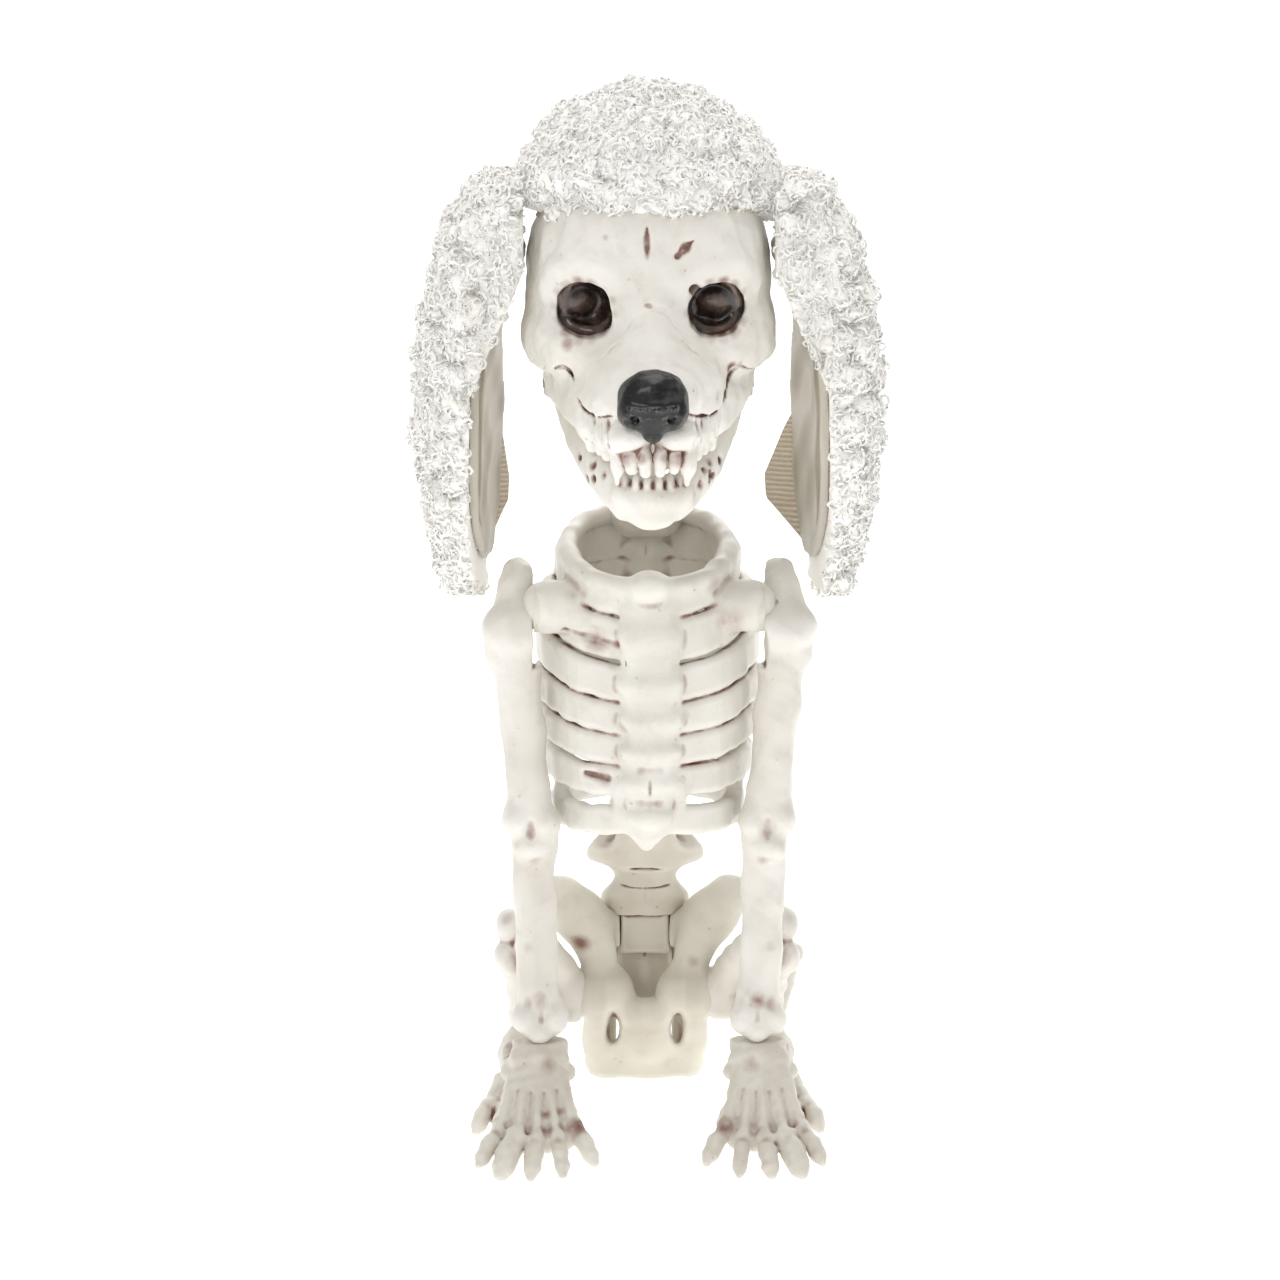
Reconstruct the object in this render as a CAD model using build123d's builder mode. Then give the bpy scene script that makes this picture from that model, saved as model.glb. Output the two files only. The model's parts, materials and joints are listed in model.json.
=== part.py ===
"""A sitting poodle skeleton figure: plastic bones with a faux-fur crown and ears.

The dog sits upright and faces -Y, with +Z up. Its own left side is +X. The origin is on the
floor under the middle of its bounding box. All sizes are in millimetres.
"""
from build123d import *
import os

os.makedirs("parts", exist_ok=True)

SIDES = (("left", 1), ("right", -1))

# Ribcage
rib_z = (187.0, 173.5, 159.5, 148.0, 137.5, 127.0, 115.0)  # height of each rib at the breastbone
rib_half_width = (28.0, 32.5, 34.5, 35.0, 34.0, 32.5, 30.0)
rib_rise = (5.5, 4.0, 2.0, 0.3, -1.6, -3.4, -5.2)  # how far each rib has risen at the flank
rib_half_height = (5.2, 5.0, 4.8, 4.6, 4.4, 4.4, 4.2)
rib_half_thickness = 1.9
breastbone_y = -36.0
backbone_y = 35.0

# Joint axes, as (y, z) for the ones that run along X
shoulder_y, shoulder_z = -22.0, 183.0
hip_y, hip_z = 41.0, 34.0
waist_y, waist_z = 60.0, 53.0
neck_y, neck_z = 28.0, 203.0
jaw_y, jaw_z = -8.0, 255.0
tail_y, tail_z = 69.0, 27.0
turn_y = 12.0  # the head turns on a vertical peg here
neck_top_z = 240.0
peg_head_z = 254.6
ear_x, ear_z = 43.0, 300.0  # the ears swing on pins along Y here
ear_y = -12.0

# Pins: the pin fits tightly in one body and runs in the other
shoulder_pin_r = 3.0
hip_pin_r = 3.0
waist_pin_r = 2.4
neck_pin_r = 2.0
jaw_pin_r = 1.6
tail_pin_r = 1.4
ear_pin_r = 1.5
running_gap = 0.06  # radial gap round a pin that turns
face_gap = 0.3  # gap between faces that pass each other

# Head
skull_wall = 2.2
blade_thickness = 2.0
ear_inboard_x = 50.0  # the open side of the dished ear


def keep(part, name):
    """Labels a finished piece and writes its STEP file."""
    part.label = name
    export_step(part, f"parts/{name}.step")


def lofted(stations):
    """A loft through level ovals; each station is (x, y, z, half width, half depth)."""
    with BuildPart() as form:
        for x, y, z, rx, ry in stations:
            with BuildSketch(Plane.XY.offset(z)):
                with Locations((x, y)):
                    Ellipse(rx, ry)
        loft()
    return form.part


def lofted_forward(stations):
    """A loft through upright ovals facing -Y; each station is (y, x, z, half width, half height)."""
    with BuildPart() as form:
        for y, x, z, rx, rz in stations:
            with BuildSketch(Plane(origin=(x, y, z), x_dir=(1, 0, 0), z_dir=(0, -1, 0))):
                Ellipse(rx, rz)
        loft()
    return form.part


def rod_along(points, rx, ry, upright=(0, 0, 1)):
    """An oval rod swept along a smooth path; ry is its half size along the upright direction."""
    with BuildPart() as form:
        with BuildLine() as path:
            Spline(*points)
        start = Plane(origin=path.line @ 0, x_dir=upright, z_dir=path.line % 0)
        with BuildSketch(start):
            Ellipse(ry, rx)
        sweep()
    return form.part


def straight_bone(a, b, r1, r2):
    """A tapered straight bone with round ends."""
    with BuildPart() as form:
        direction = Vector(*b) - Vector(*a)
        with BuildSketch(Plane(origin=a, z_dir=direction)):
            Circle(r1)
        with BuildSketch(Plane(origin=b, z_dir=direction)):
            Circle(r2)
        loft()
        with Locations(a):
            Sphere(r1)
        with Locations(b):
            Sphere(r2)
    return form.part


def knob(x, y, z, rx, ry, rz):
    """An egg-shaped bone end."""
    with BuildPart() as form:
        Sphere(1)
        scale(by=(rx, ry, rz))
    return form.part.moved(Location((x, y, z)))


def pin_along_x(x1, x2, y, z, r):
    """A round pin or hole along X."""
    with BuildPart() as form:
        with BuildSketch(Plane.YZ.offset(min(x1, x2))):
            with Locations((y, z)):
                Circle(r)
        extrude(amount=abs(x2 - x1))
    return form.part


def pin_along_y(x, y1, y2, z, r):
    """A round pin or hole along Y."""
    with BuildPart() as form:
        with BuildSketch(Plane(origin=(x, y1, z), x_dir=(1, 0, 0), z_dir=(0, 1, 0))):
            Circle(r)
        extrude(amount=y2 - y1)
    return form.part


def upright_rod(x, y, z1, z2, r):
    """A round upright post or hole."""
    with BuildPart() as form:
        with BuildSketch(Plane.XY.offset(z1)):
            with Locations((x, y)):
                Circle(r)
        extrude(amount=z2 - z1)
    return form.part


def block(x1, x2, y1, y2, z1, z2):
    """A plain block between two corners."""
    with BuildPart() as form:
        with Locations(((x1 + x2) / 2, (y1 + y2) / 2, (z1 + z2) / 2)):
            Box(abs(x2 - x1), abs(y2 - y1), abs(z2 - z1))
    return form.part


def plate_across(outline, x1, x2):
    """A flat plate with the given (y, z) outline, filling from x1 to x2."""
    with BuildPart() as form:
        with BuildSketch(Plane.YZ.offset(min(x1, x2))):
            with BuildLine():
                Polyline(*outline, close=True)
            make_face()
        extrude(amount=abs(x2 - x1))
    return form.part


def mirrored(part, side):
    """The +X form for side 1, and its mirror image for side -1."""
    return part if side > 0 else part.mirror(Plane.YZ)


# ---------------------------------------------------------------- ribcage
for side_name, side in SIDES:
    half_ribs = []
    for z0, half_width, rise, half_height in zip(rib_z, rib_half_width, rib_rise, rib_half_height):
        half_ribs.append(rod_along([
            (4.0, breastbone_y + 0.5, z0),
            (0.70 * half_width, -27.0, z0 + 0.25 * rise),
            (half_width, -2.0, z0 + rise),
            (0.76 * half_width, 23.0, z0 + 1.6 * rise),
            (4.0, backbone_y, z0 + 2.0 * rise),
        ], rib_half_thickness, half_height))
    breastbone = lofted([(0, -34, 196, 6, 3.5), (0, -36, 188, 9.5, 5), (0, -37, 150, 10, 5),
                         (0, -36, 124, 9.5, 5), (0, -35, 108, 3, 3)])
    backbone = lofted([(0, 32, 198, 10, 7), (0, 34, 180, 10, 8), (0, 36, 140, 10, 8),
                       (0, 38, 104, 9, 8)])
    with BuildPart() as ribcage_half:
        add(breastbone)
        add(backbone)
        # knuckle that holds the neck pin
        add(pin_along_x(0, 10, neck_y, neck_z, 7.5))
        for rib in half_ribs:
            add(rib)
        # boss that carries the shoulder
        add(pin_along_x(20, 35.2, shoulder_y, shoulder_z, 8.0))
        split(bisect_by=Plane.YZ, keep=Keep.TOP)
        # the lower backbone plugs in here
        add(block(-1, 14, 27, 50, 90, 104), mode=Mode.SUBTRACT)
        # slot for the neck's tongue
        add(pin_along_x(0, 5.0, neck_y, neck_z, 8.2), mode=Mode.SUBTRACT)
        add(block(-1, 5.0, neck_y - 9, neck_y + 12, neck_z, neck_z + 14), mode=Mode.SUBTRACT)
        add(pin_along_x(0, 12, neck_y, neck_z, neck_pin_r), mode=Mode.SUBTRACT)
        add(pin_along_x(16, 40, shoulder_y, shoulder_z, shoulder_pin_r), mode=Mode.SUBTRACT)
        # screw holes, with a seat for each head
        for screw_y, screw_z in ((36.0, 168.0), (37.0, 126.0), (-36.5, 168.0)):
            add(pin_along_x(-1, 6, screw_y, screw_z, 1.2), mode=Mode.SUBTRACT)
            if side < 0:
                add(pin_along_x(6, 20, screw_y, screw_z, 2.6), mode=Mode.SUBTRACT)
    keep(mirrored(ribcage_half.part, side), f"ribcage_{side_name}")

with BuildPart() as ribcage_screws:
    for screw_y, screw_z in ((36.0, 168.0), (37.0, 126.0), (-36.5, 168.0)):
        add(pin_along_x(-6, 6, screw_y, screw_z, 1.2))
        add(pin_along_x(-8, -6, screw_y, screw_z, 2.6))
keep(ribcage_screws.part, "ribcage_screws")

for side_name, side in SIDES:
    with BuildPart() as shoulder_disc:
        add(pin_along_x(35.2, 37.7, shoulder_y, shoulder_z, 8.0))
        add(pin_along_x(30, 40, shoulder_y, shoulder_z, shoulder_pin_r), mode=Mode.SUBTRACT)
    keep(mirrored(shoulder_disc.part, side), f"shoulder_disc_{side_name}")
    shoulder_pin = pin_along_x(23, 47, shoulder_y, shoulder_z, shoulder_pin_r)
    keep(mirrored(shoulder_pin, side), f"shoulder_pin_{side_name}")

# ---------------------------------------------------------------- lower backbone
for side_name, side in SIDES:
    with BuildPart() as lumbar_half:
        add(lofted([(0, 38, 104, 9, 8), (0, 40, 92, 11, 9), (0, 41, 85, 12, 9), (0, 46, 75, 10.4, 8),
                    (0, 53, 65, 8, 7.5), (0, 57, 57, 8, 7)]))
        # side processes
        add(lofted([(0, 41, 81.5, 16, 6.5), (0, 41, 85.5, 19.5, 7.5), (0, 41, 89, 17, 7)]))
        add(lofted([(0, 52, 61.6, 13.5, 6.5), (0, 52, 64.5, 15, 7), (0, 52, 68, 12, 6.5)]))
        split(bisect_by=Plane.YZ, keep=Keep.TOP)
        add(pin_along_x(0, 8.0, waist_y, waist_z, 7.5))
        # room for the pelvis cheeks
        add(pin_along_x(8.0, 20, waist_y, waist_z, 8.0), mode=Mode.SUBTRACT)
        add(pin_along_x(-1, 9, waist_y, waist_z, waist_pin_r + running_gap), mode=Mode.SUBTRACT)
    keep(mirrored(lumbar_half.part, side), f"lumbar_{side_name}")

# ---------------------------------------------------------------- pelvis
cheek_outline = [(32, 27), (32, 40), (40, 50), (52.5, 53), (56, 59.4), (61, 60.4), (67, 55), (68, 44),
                 (68, 14), (60, 8), (48, 16)]
with BuildPart() as pelvis_half:
    add(plate_across(cheek_outline, 8.8, 14))
    # round cheek on the waist pin
    add(pin_along_x(8.3, 14, waist_y, waist_z, 7.2))
    # hip boss
    add(pin_along_x(8.8, 17.8, hip_y, hip_z, 9.0))
    # wing
    add(lofted([(13, 46, 32, 5, 8), (17, 47, 45, 5, 9), (22.5, 44, 58, 6.5, 7), (28, 41, 69, 6, 5),
                (30.5, 40, 76, 3, 3)]))
    # sloping pubic plate and the flat seat under it
    add(plate_across([(37, 31), (37, 37), (42, 37), (49, 20), (58, 7), (72, 7), (74, 4), (74, 0),
                      (54, 0), (43, 18)], 0, 16.5))
    add(lofted([(10.7, 60, 12.5, 2.4, 30), (10.7, 60, 21, 2.8, 30), (10.7, 60, 29, 2.4, 30)]),
        mode=Mode.SUBTRACT)
    # flat side faces for the discs and the thighs
    add(pin_along_x(17.8, 34, hip_y, hip_z, 9.6), mode=Mode.SUBTRACT)
    # room for the swinging lower backbone
    add(pin_along_x(-1, 8.3, waist_y, waist_z, 8.2), mode=Mode.SUBTRACT)
    add(pin_along_x(7, 20, waist_y, waist_z, waist_pin_r), mode=Mode.SUBTRACT)
    add(pin_along_x(7, 20, hip_y, hip_z, hip_pin_r), mode=Mode.SUBTRACT)
with BuildPart() as pelvis:
    add(pelvis_half.part)
    add(pelvis_half.part.mirror(Plane.YZ))
keep(pelvis.part, "pelvis")

with BuildPart() as waist_pin:
    add(pin_along_x(-14, 14, waist_y, waist_z, waist_pin_r))
keep(waist_pin.part, "waist_pin")

for side_name, side in SIDES:
    with BuildPart() as sacrum_half:
        add(block(0, 8.8, 58, 68, 20, 50))
        add(pin_along_x(0, 8.8, tail_y, tail_z, 5.0))
        add(pin_along_x(-1, 9, waist_y, waist_z, 8.2), mode=Mode.SUBTRACT)
        # slot for the tail's tongue
        add(pin_along_x(0, 3.3, tail_y, tail_z, 6.0), mode=Mode.SUBTRACT)
        add(block(-1, 3.3, tail_y, tail_y + 8, tail_z - 7, tail_z + 7), mode=Mode.SUBTRACT)
        add(pin_along_x(-1, 9, tail_y, tail_z, tail_pin_r), mode=Mode.SUBTRACT)
    keep(mirrored(sacrum_half.part, side), f"sacrum_{side_name}")

    with BuildPart() as hip_disc:
        add(pin_along_x(17.8, 20.2, hip_y, hip_z, 8.0))
        add(pin_along_x(17, 21, hip_y, hip_z, hip_pin_r), mode=Mode.SUBTRACT)
    keep(mirrored(hip_disc.part, side), f"hip_disc_{side_name}")
    hip_pin = pin_along_x(9, 29, hip_y, hip_z, hip_pin_r)
    keep(mirrored(hip_pin, side), f"hip_pin_{side_name}")

# ---------------------------------------------------------------- tail
with BuildPart() as tail_pin:
    add(pin_along_x(-8.8, 8.8, tail_y, tail_z, tail_pin_r))
keep(tail_pin.part, "tail_pin")
with BuildPart() as tail:
    add(pin_along_x(-3, 3, tail_y, tail_z, 4.5))
    add(rod_along([(0, tail_y + 2, tail_z), (0, 79, 30), (0, 87, 35), (0, 93, 43)], 3.0, 3.0,
                  upright=(1, 0, 0)))
    add(knob(0, 93, 43, 3.2, 3.2, 4))
    add(pin_along_x(-4, 4, tail_y, tail_z, tail_pin_r + running_gap), mode=Mode.SUBTRACT)
keep(tail.part, "tail")

# ---------------------------------------------------------------- hind legs
for side_name, side in SIDES:
    with BuildPart() as hind_leg:
        add(straight_bone((27, 39, 36), (41, 13, 62), 6.8, 6.5))
        add(knob(42.5, 12, 67, 8.5, 9, 8.5))
        add(knob(42.5, 10, 57, 9, 8.5, 8))
        add(straight_bone((42.5, 12, 56), (41, 31, 29), 6, 4.6))
        add(pin_along_x(20.5, 31, hip_y, hip_z, 8.0))
        add(block(10, 20.5, 0, 60, 10, 60), mode=Mode.SUBTRACT)
        add(pin_along_x(19, 29.3, hip_y, hip_z, hip_pin_r + running_gap), mode=Mode.SUBTRACT)
    with BuildPart() as hind_paw:
        heel_x = 50 if side > 0 else 40
        add(lofted([(41, 30, 12.6, 4, 5), (41, 30, 16, 6.6, 7.6), (41, 30, 20.5, 6.9, 7.9),
                    (41, 30, 25, 6, 7), (41, 30, 28, 3.5, 4.5)]))
        add(straight_bone((41, 32, 22), (heel_x, 45, 47), 4.6, 3.3))
        add(lofted_forward([(30, 41, 19, 6, 6), (12, 41, 14, 10, 6), (-4, 41, 9, 15, 5),
                            (-9, 41, 8, 15, 4.5)]))
        for toe_x, tip_x, tip_y, tip_z in ((28, 25, -16, 5), (35, 33, -23, 3), (42, 42, -24, 3),
                                           (49, 50, -22, 3), (54, 57, -15, 5)):
            add(straight_bone((toe_x, -6, 8), (tip_x, tip_y, tip_z), 3.6, 3.0))
        add(block(0, 90, -60, 90, -20, 0), mode=Mode.SUBTRACT)
        add(hind_leg.part, mode=Mode.SUBTRACT)
    keep(mirrored(hind_leg.part, side), f"hind_leg_{side_name}")
    keep(mirrored(hind_paw.part, side), f"hind_paw_{side_name}")

# ---------------------------------------------------------------- front legs
wrist_z = 38.0
for side_name, side in SIDES:
    with BuildPart() as front_leg:
        add(lofted([(43, -12, 196, 4, 7), (43.5, -17, 187, 7, 9.5), (44.5, -22, 174, 9.7, 10),
                    (41.5, -22, 159, 7.4, 8), (39.5, -22, 130, 7.2, 7.5), (38.5, -22, 112, 9.2, 9),
                    (37.8, -22, 97, 6.9, 7.3), (36.8, -23, 60, 6.8, 7), (36, -24, 47, 9, 8),
                    (36, -25, wrist_z, 8.2, 7)]))
        add(block(20, 38.1, -60, 20, 164, 204), mode=Mode.SUBTRACT)
        add(pin_along_x(37, 47.3, shoulder_y, shoulder_z, shoulder_pin_r + running_gap),
            mode=Mode.SUBTRACT)
    keep(mirrored(front_leg.part, side), f"front_leg_{side_name}")
    with BuildPart() as front_paw:
        add(lofted([(36, -26, wrist_z, 8.2, 7), (36.5, -33, 30, 11, 8), (37, -42, 20, 14, 8),
                    (37.5, -48, 12, 17, 6)]))
        for toe_x, tip_x, tip_y, tip_z in ((24, 19.5, -56, 7), (30.5, 29.5, -61, 3), (37, 40, -62, 3),
                                           (43.5, 49, -61, 3), (49, 55, -57, 6)):
            add(straight_bone((toe_x, -47, 14), (tip_x, tip_y, tip_z), 4.2, 2.9))
        add(block(0, 90, -90, 20, wrist_z, wrist_z + 30), mode=Mode.SUBTRACT)
        add(block(0, 90, -90, 20, -20, 0), mode=Mode.SUBTRACT)
    keep(mirrored(front_paw.part, side), f"front_paw_{side_name}")

# ---------------------------------------------------------------- neck
with BuildPart() as neck:
    add(pin_along_x(-4.7, 4.7, neck_y, neck_z, 7.2))
    add(lofted([(0, 28, 203, 4.6, 6.5), (0, 26.5, 211.5, 4.6, 7), (0, 20, 225, 7.5, 7),
                (0, 14, 236, 9, 8), (0, turn_y, neck_top_z, 9.5, 9)]))
    # peg that the head turns on, with its retaining head
    add(upright_rod(0, turn_y, neck_top_z - 1, peg_head_z, 4.5))
    add(upright_rod(0, turn_y, peg_head_z, peg_head_z + 3, 7))
    add(pin_along_x(-6, 6, neck_y, neck_z, neck_pin_r + running_gap), mode=Mode.SUBTRACT)
keep(neck.part, "neck")
with BuildPart() as neck_pin:
    add(pin_along_x(-10, 10, neck_y, neck_z, neck_pin_r))
keep(neck_pin.part, "neck_pin")

# ---------------------------------------------------------------- skull
skull_sections = [(0, -14, 250, 24, 34), (0, -14, 262, 37, 43), (0, -15, 276, 40.3, 46),
                  (0, -15, 298, 39.5, 45.5), (0, -14, 314, 35.5, 41), (0, -12, 328, 26, 30),
                  (0, -11, 335, 12, 15)]
hollow_sections = [(x, y, z, rx - skull_wall, ry - skull_wall) for x, y, z, rx, ry in skull_sections]
hollow_sections[0] = (0, -14, 254, 25, 34)
hollow_sections[-1] = (0, -11, 332, 11, 14)
muzzle_sections = [(-42, 0, 263, 31, 15), (-56, 0, 262, 20, 15), (-72, 0, 260, 15.5, 13.5),
                   (-87, 0, 259, 12.5, 11.5)]
muzzle_hollow = [(y, x, z, rx - skull_wall, rz - skull_wall) for y, x, z, rx, rz in muzzle_sections]
muzzle_hollow[-1] = (-84, 0, 259, 10, 9)
muzzle_hollow[0] = (-34, 0, 263, 29, 13)
# the parting line of the two skull shells drops from the back of the head to the nose
shell_parting = Plane(origin=(0, -14, 262), x_dir=(1, 0, 0), z_dir=(0, -0.14, 1))
eye_x, eye_z = 20.5, 283.0

with BuildPart() as skull_form:
    add(lofted(skull_sections))
    add(lofted_forward(muzzle_sections))
screw_places = ((-22.0, 14.0), (22.0, 14.0))
with BuildPart() as skull_hollow:
    add(lofted(hollow_sections))
    add(lofted_forward(muzzle_hollow))
    # screw posts stay solid across the parting line
    for screw_x, screw_y in screw_places:
        add(upright_rod(screw_x, screw_y, 245, 277, 3.6), mode=Mode.SUBTRACT)
        # a web ties each upper post to the skull's wall
        add(block(screw_x, screw_x * 1.5, screw_y - 1.2, screw_y + 1.2, 267, 277), mode=Mode.SUBTRACT)
with BuildPart() as screw_holes:
    for screw_x, screw_y in screw_places:
        add(upright_rod(screw_x, screw_y, 240, 274, 1.2))
        add(upright_rod(screw_x, screw_y, 240, 256, 2.6))

with BuildPart() as skull_top:
    add(skull_form.part)
    # lugs that hold the ears
    for side_name, side in SIDES:
        add(pin_along_y(side * ear_x, ear_y - 4, ear_y + 4, ear_z, 3.6))
        add(block(side * 34, side * ear_x, ear_y - 4, ear_y + 4, ear_z - 3.6, ear_z + 3.6))
    add(skull_hollow.part, mode=Mode.SUBTRACT)
    split(bisect_by=shell_parting, keep=Keep.TOP)
    add(screw_holes.part, mode=Mode.SUBTRACT)
    for side_name, side in SIDES:
        add(pin_along_y(side * eye_x, -75, -30, eye_z, 9.5), mode=Mode.SUBTRACT)
        add(pin_along_y(side * ear_x, ear_y - 6, ear_y + 6, ear_z, ear_pin_r + running_gap),
            mode=Mode.SUBTRACT)
keep(skull_top.part, "skull_top")

for side_name, side in SIDES:
    with BuildPart() as eye_socket:
        # a dished cup that fills the opening in the shell
        add(pin_along_y(side * eye_x, -56, -36, eye_z, 9.5))
        add(knob(side * eye_x, -58, eye_z, 8.4, 19, 8.4), mode=Mode.SUBTRACT)
    keep(eye_socket.part, f"eye_socket_{side_name}")

with BuildPart() as nose:
    add(knob(0, -89, 263, 11.5, 7.5, 10.5))
    add(skull_form.part, mode=Mode.SUBTRACT)
keep(nose.part, "nose")

with BuildPart() as skull_base:
    add(skull_form.part)
    add(skull_hollow.part, mode=Mode.SUBTRACT)
    split(bisect_by=shell_parting, keep=Keep.BOTTOM)
    add(screw_holes.part, mode=Mode.SUBTRACT)
    # collar that turns on the neck's peg, under the peg's head
    add(upright_rod(0, turn_y, neck_top_z + face_gap, peg_head_z - face_gap, 9.5))
    add(upright_rod(0, turn_y, neck_top_z - 1, peg_head_z, 4.5 + running_gap), mode=Mode.SUBTRACT)
    add(upright_rod(0, turn_y, peg_head_z - face_gap, peg_head_z + 6, 7.5), mode=Mode.SUBTRACT)
    # upper teeth
    for tooth_x, tooth_y, tooth_r in ((-9.2, -82, 2.0), (-5.6, -86, 2.0), (-1.9, -87.5, 2.0),
                                      (1.9, -87.5, 2.0), (5.6, -86, 2.0), (9.2, -82, 2.0)):
        length = 13 if abs(tooth_x) > 9 else 9
        with BuildSketch(Plane.XY.offset(252)):
            with Locations((tooth_x, tooth_y + 2.6)):
                Circle(tooth_r)
        extrude(amount=-length, taper=6)
    # cheeks that hold the jaw pins
    for side_name, side in SIDES:
        add(plate_across([(-15, 251), (-15, 260.5), (3, 262), (3, 251), (-6, 248)],
                         side * 31, side * 34.5))
        add(pin_along_x(side * 30, side * 36, jaw_y, jaw_z, jaw_pin_r), mode=Mode.SUBTRACT)
    # room behind the jaw's bosses
    for side_name, side in SIDES:
        add(pin_along_x(side * 22, side * 31, jaw_y, jaw_z, 7.0), mode=Mode.SUBTRACT)
        add(block(side * 18, side * 31, jaw_y - 30, jaw_y, jaw_z - 16, jaw_z + 4),
            mode=Mode.SUBTRACT)
keep(skull_base.part, "skull_base")

with BuildPart() as skull_screws:
    for screw_x, screw_y in screw_places:
        add(upright_rod(screw_x, screw_y, 256, 274, 1.2))
        add(upright_rod(screw_x, screw_y, 254, 256, 2.6))
keep(skull_screws.part, "skull_screws")

# ---------------------------------------------------------------- lower jaw
with BuildPart() as jaw:
    add(rod_along([(27, jaw_y + 1, jaw_z - 1), (22.5, -34, 243.5), (14, -62, 235), (0, -78, 231),
                   (-14, -62, 235), (-22.5, -34, 243.5), (-27, jaw_y + 1, jaw_z - 1)], 3.0, 6.0))
    add(knob(0, -74, 229, 9.5, 8.5, 6.5))
    for side_name, side in SIDES:
        add(pin_along_x(side * 23, side * 30.7, jaw_y, jaw_z, 5.6))
    for tooth_x in (-7.5, -4.5, -1.5, 1.5, 4.5, 7.5):
        tooth_y = -79 + abs(tooth_x) * 0.5
        with BuildSketch(Plane.XY.offset(231)):
            with Locations((tooth_x, tooth_y)):
                Circle(1.3)
        extrude(amount=9, taper=5)
    for side_name, side in SIDES:
        add(pin_along_x(side * 22, side * 32, jaw_y, jaw_z, jaw_pin_r + running_gap),
            mode=Mode.SUBTRACT)
keep(jaw.part, "jaw")
for side_name, side in SIDES:
    keep(pin_along_x(side * 23.5, side * 34.5, jaw_y, jaw_z, jaw_pin_r), f"jaw_pin_{side_name}")

# ---------------------------------------------------------------- fur crown
with BuildPart() as fur_cap:
    add(lofted([(0, -9, 303, 39.5, 46), (0, -8, 316, 40.5, 47), (0, -7, 334, 39.5, 44.5),
                (0, -6, 347, 29, 33), (0, -6, 354, 12, 14)]))
    add(skull_form.part, mode=Mode.SUBTRACT)
    # the hem rises over the forehead, and leaves room for the ears' lugs
    add(plate_across([(-60, 290), (-60, 316), (-40, 312), (-20, 305.5), (-20, 290)], -50, 50),
        mode=Mode.SUBTRACT)
    for side_name, side in SIDES:
        add(block(side * 30, side * 50, -22, -2, 290, 306), mode=Mode.SUBTRACT)
keep(fur_cap.part, "fur_cap")

# ---------------------------------------------------------------- ears
# half the width of an ear's blade, by height
blade_widths = ((199, 5), (204, 12), (212, 17), (235, 22), (262, 21), (286, 17), (300, 14), (305, 9))
blade_outline = ([(ear_y + 4 - w, z) for z, w in blade_widths]
                 + [(ear_y + 4 + w, z) for z, w in reversed(blade_widths)])
for side_name, side in SIDES:
    with BuildPart() as ear_fur:
        # thick pile on the outer side of the blade
        add(lofted([(side * x, ear_y + 4, z, rx, ry) for x, z, rx, ry in (
            (57, 200, 7, 10), (59.5, 212, 13, 22), (61, 235, 17.5, 31), (60, 262, 18.5, 31),
            (57, 288, 16, 25), (55, 304, 11, 17), (54, 312, 6, 9))]))
        add(block(0, side * (ear_inboard_x + blade_thickness), -60, 60, 190, 330),
            mode=Mode.SUBTRACT)
    keep(ear_fur.part, f"ear_fur_{side_name}")
    with BuildPart() as ear_shell:
        add(plate_across(blade_outline, side * ear_inboard_x,
                         side * (ear_inboard_x + blade_thickness)))
        # two arms from the blade to the pin, either side of the skull's lug
        for y1, y2 in ((ear_y - 8.3, ear_y - 4.3), (ear_y + 4.3, ear_y + 8.3)):
            add(block(side * ear_x, side * (ear_inboard_x + 1), y1, y2, ear_z - 3.2, ear_z + 3.2))
            add(pin_along_y(side * ear_x, y1, y2, ear_z, 3.2))
        add(pin_along_y(side * ear_x, ear_y - 16, ear_y + 16, ear_z, ear_pin_r), mode=Mode.SUBTRACT)
    keep(ear_shell.part, f"ear_shell_{side_name}")
    keep(pin_along_y(side * ear_x, ear_y - 8.3, ear_y + 8.3, ear_z, ear_pin_r),
         f"ear_pin_{side_name}")
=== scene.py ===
"""Looks for a sitting poodle skeleton figure: moulded bones, a glossy nose and curly faux fur."""
import json
import math

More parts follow.
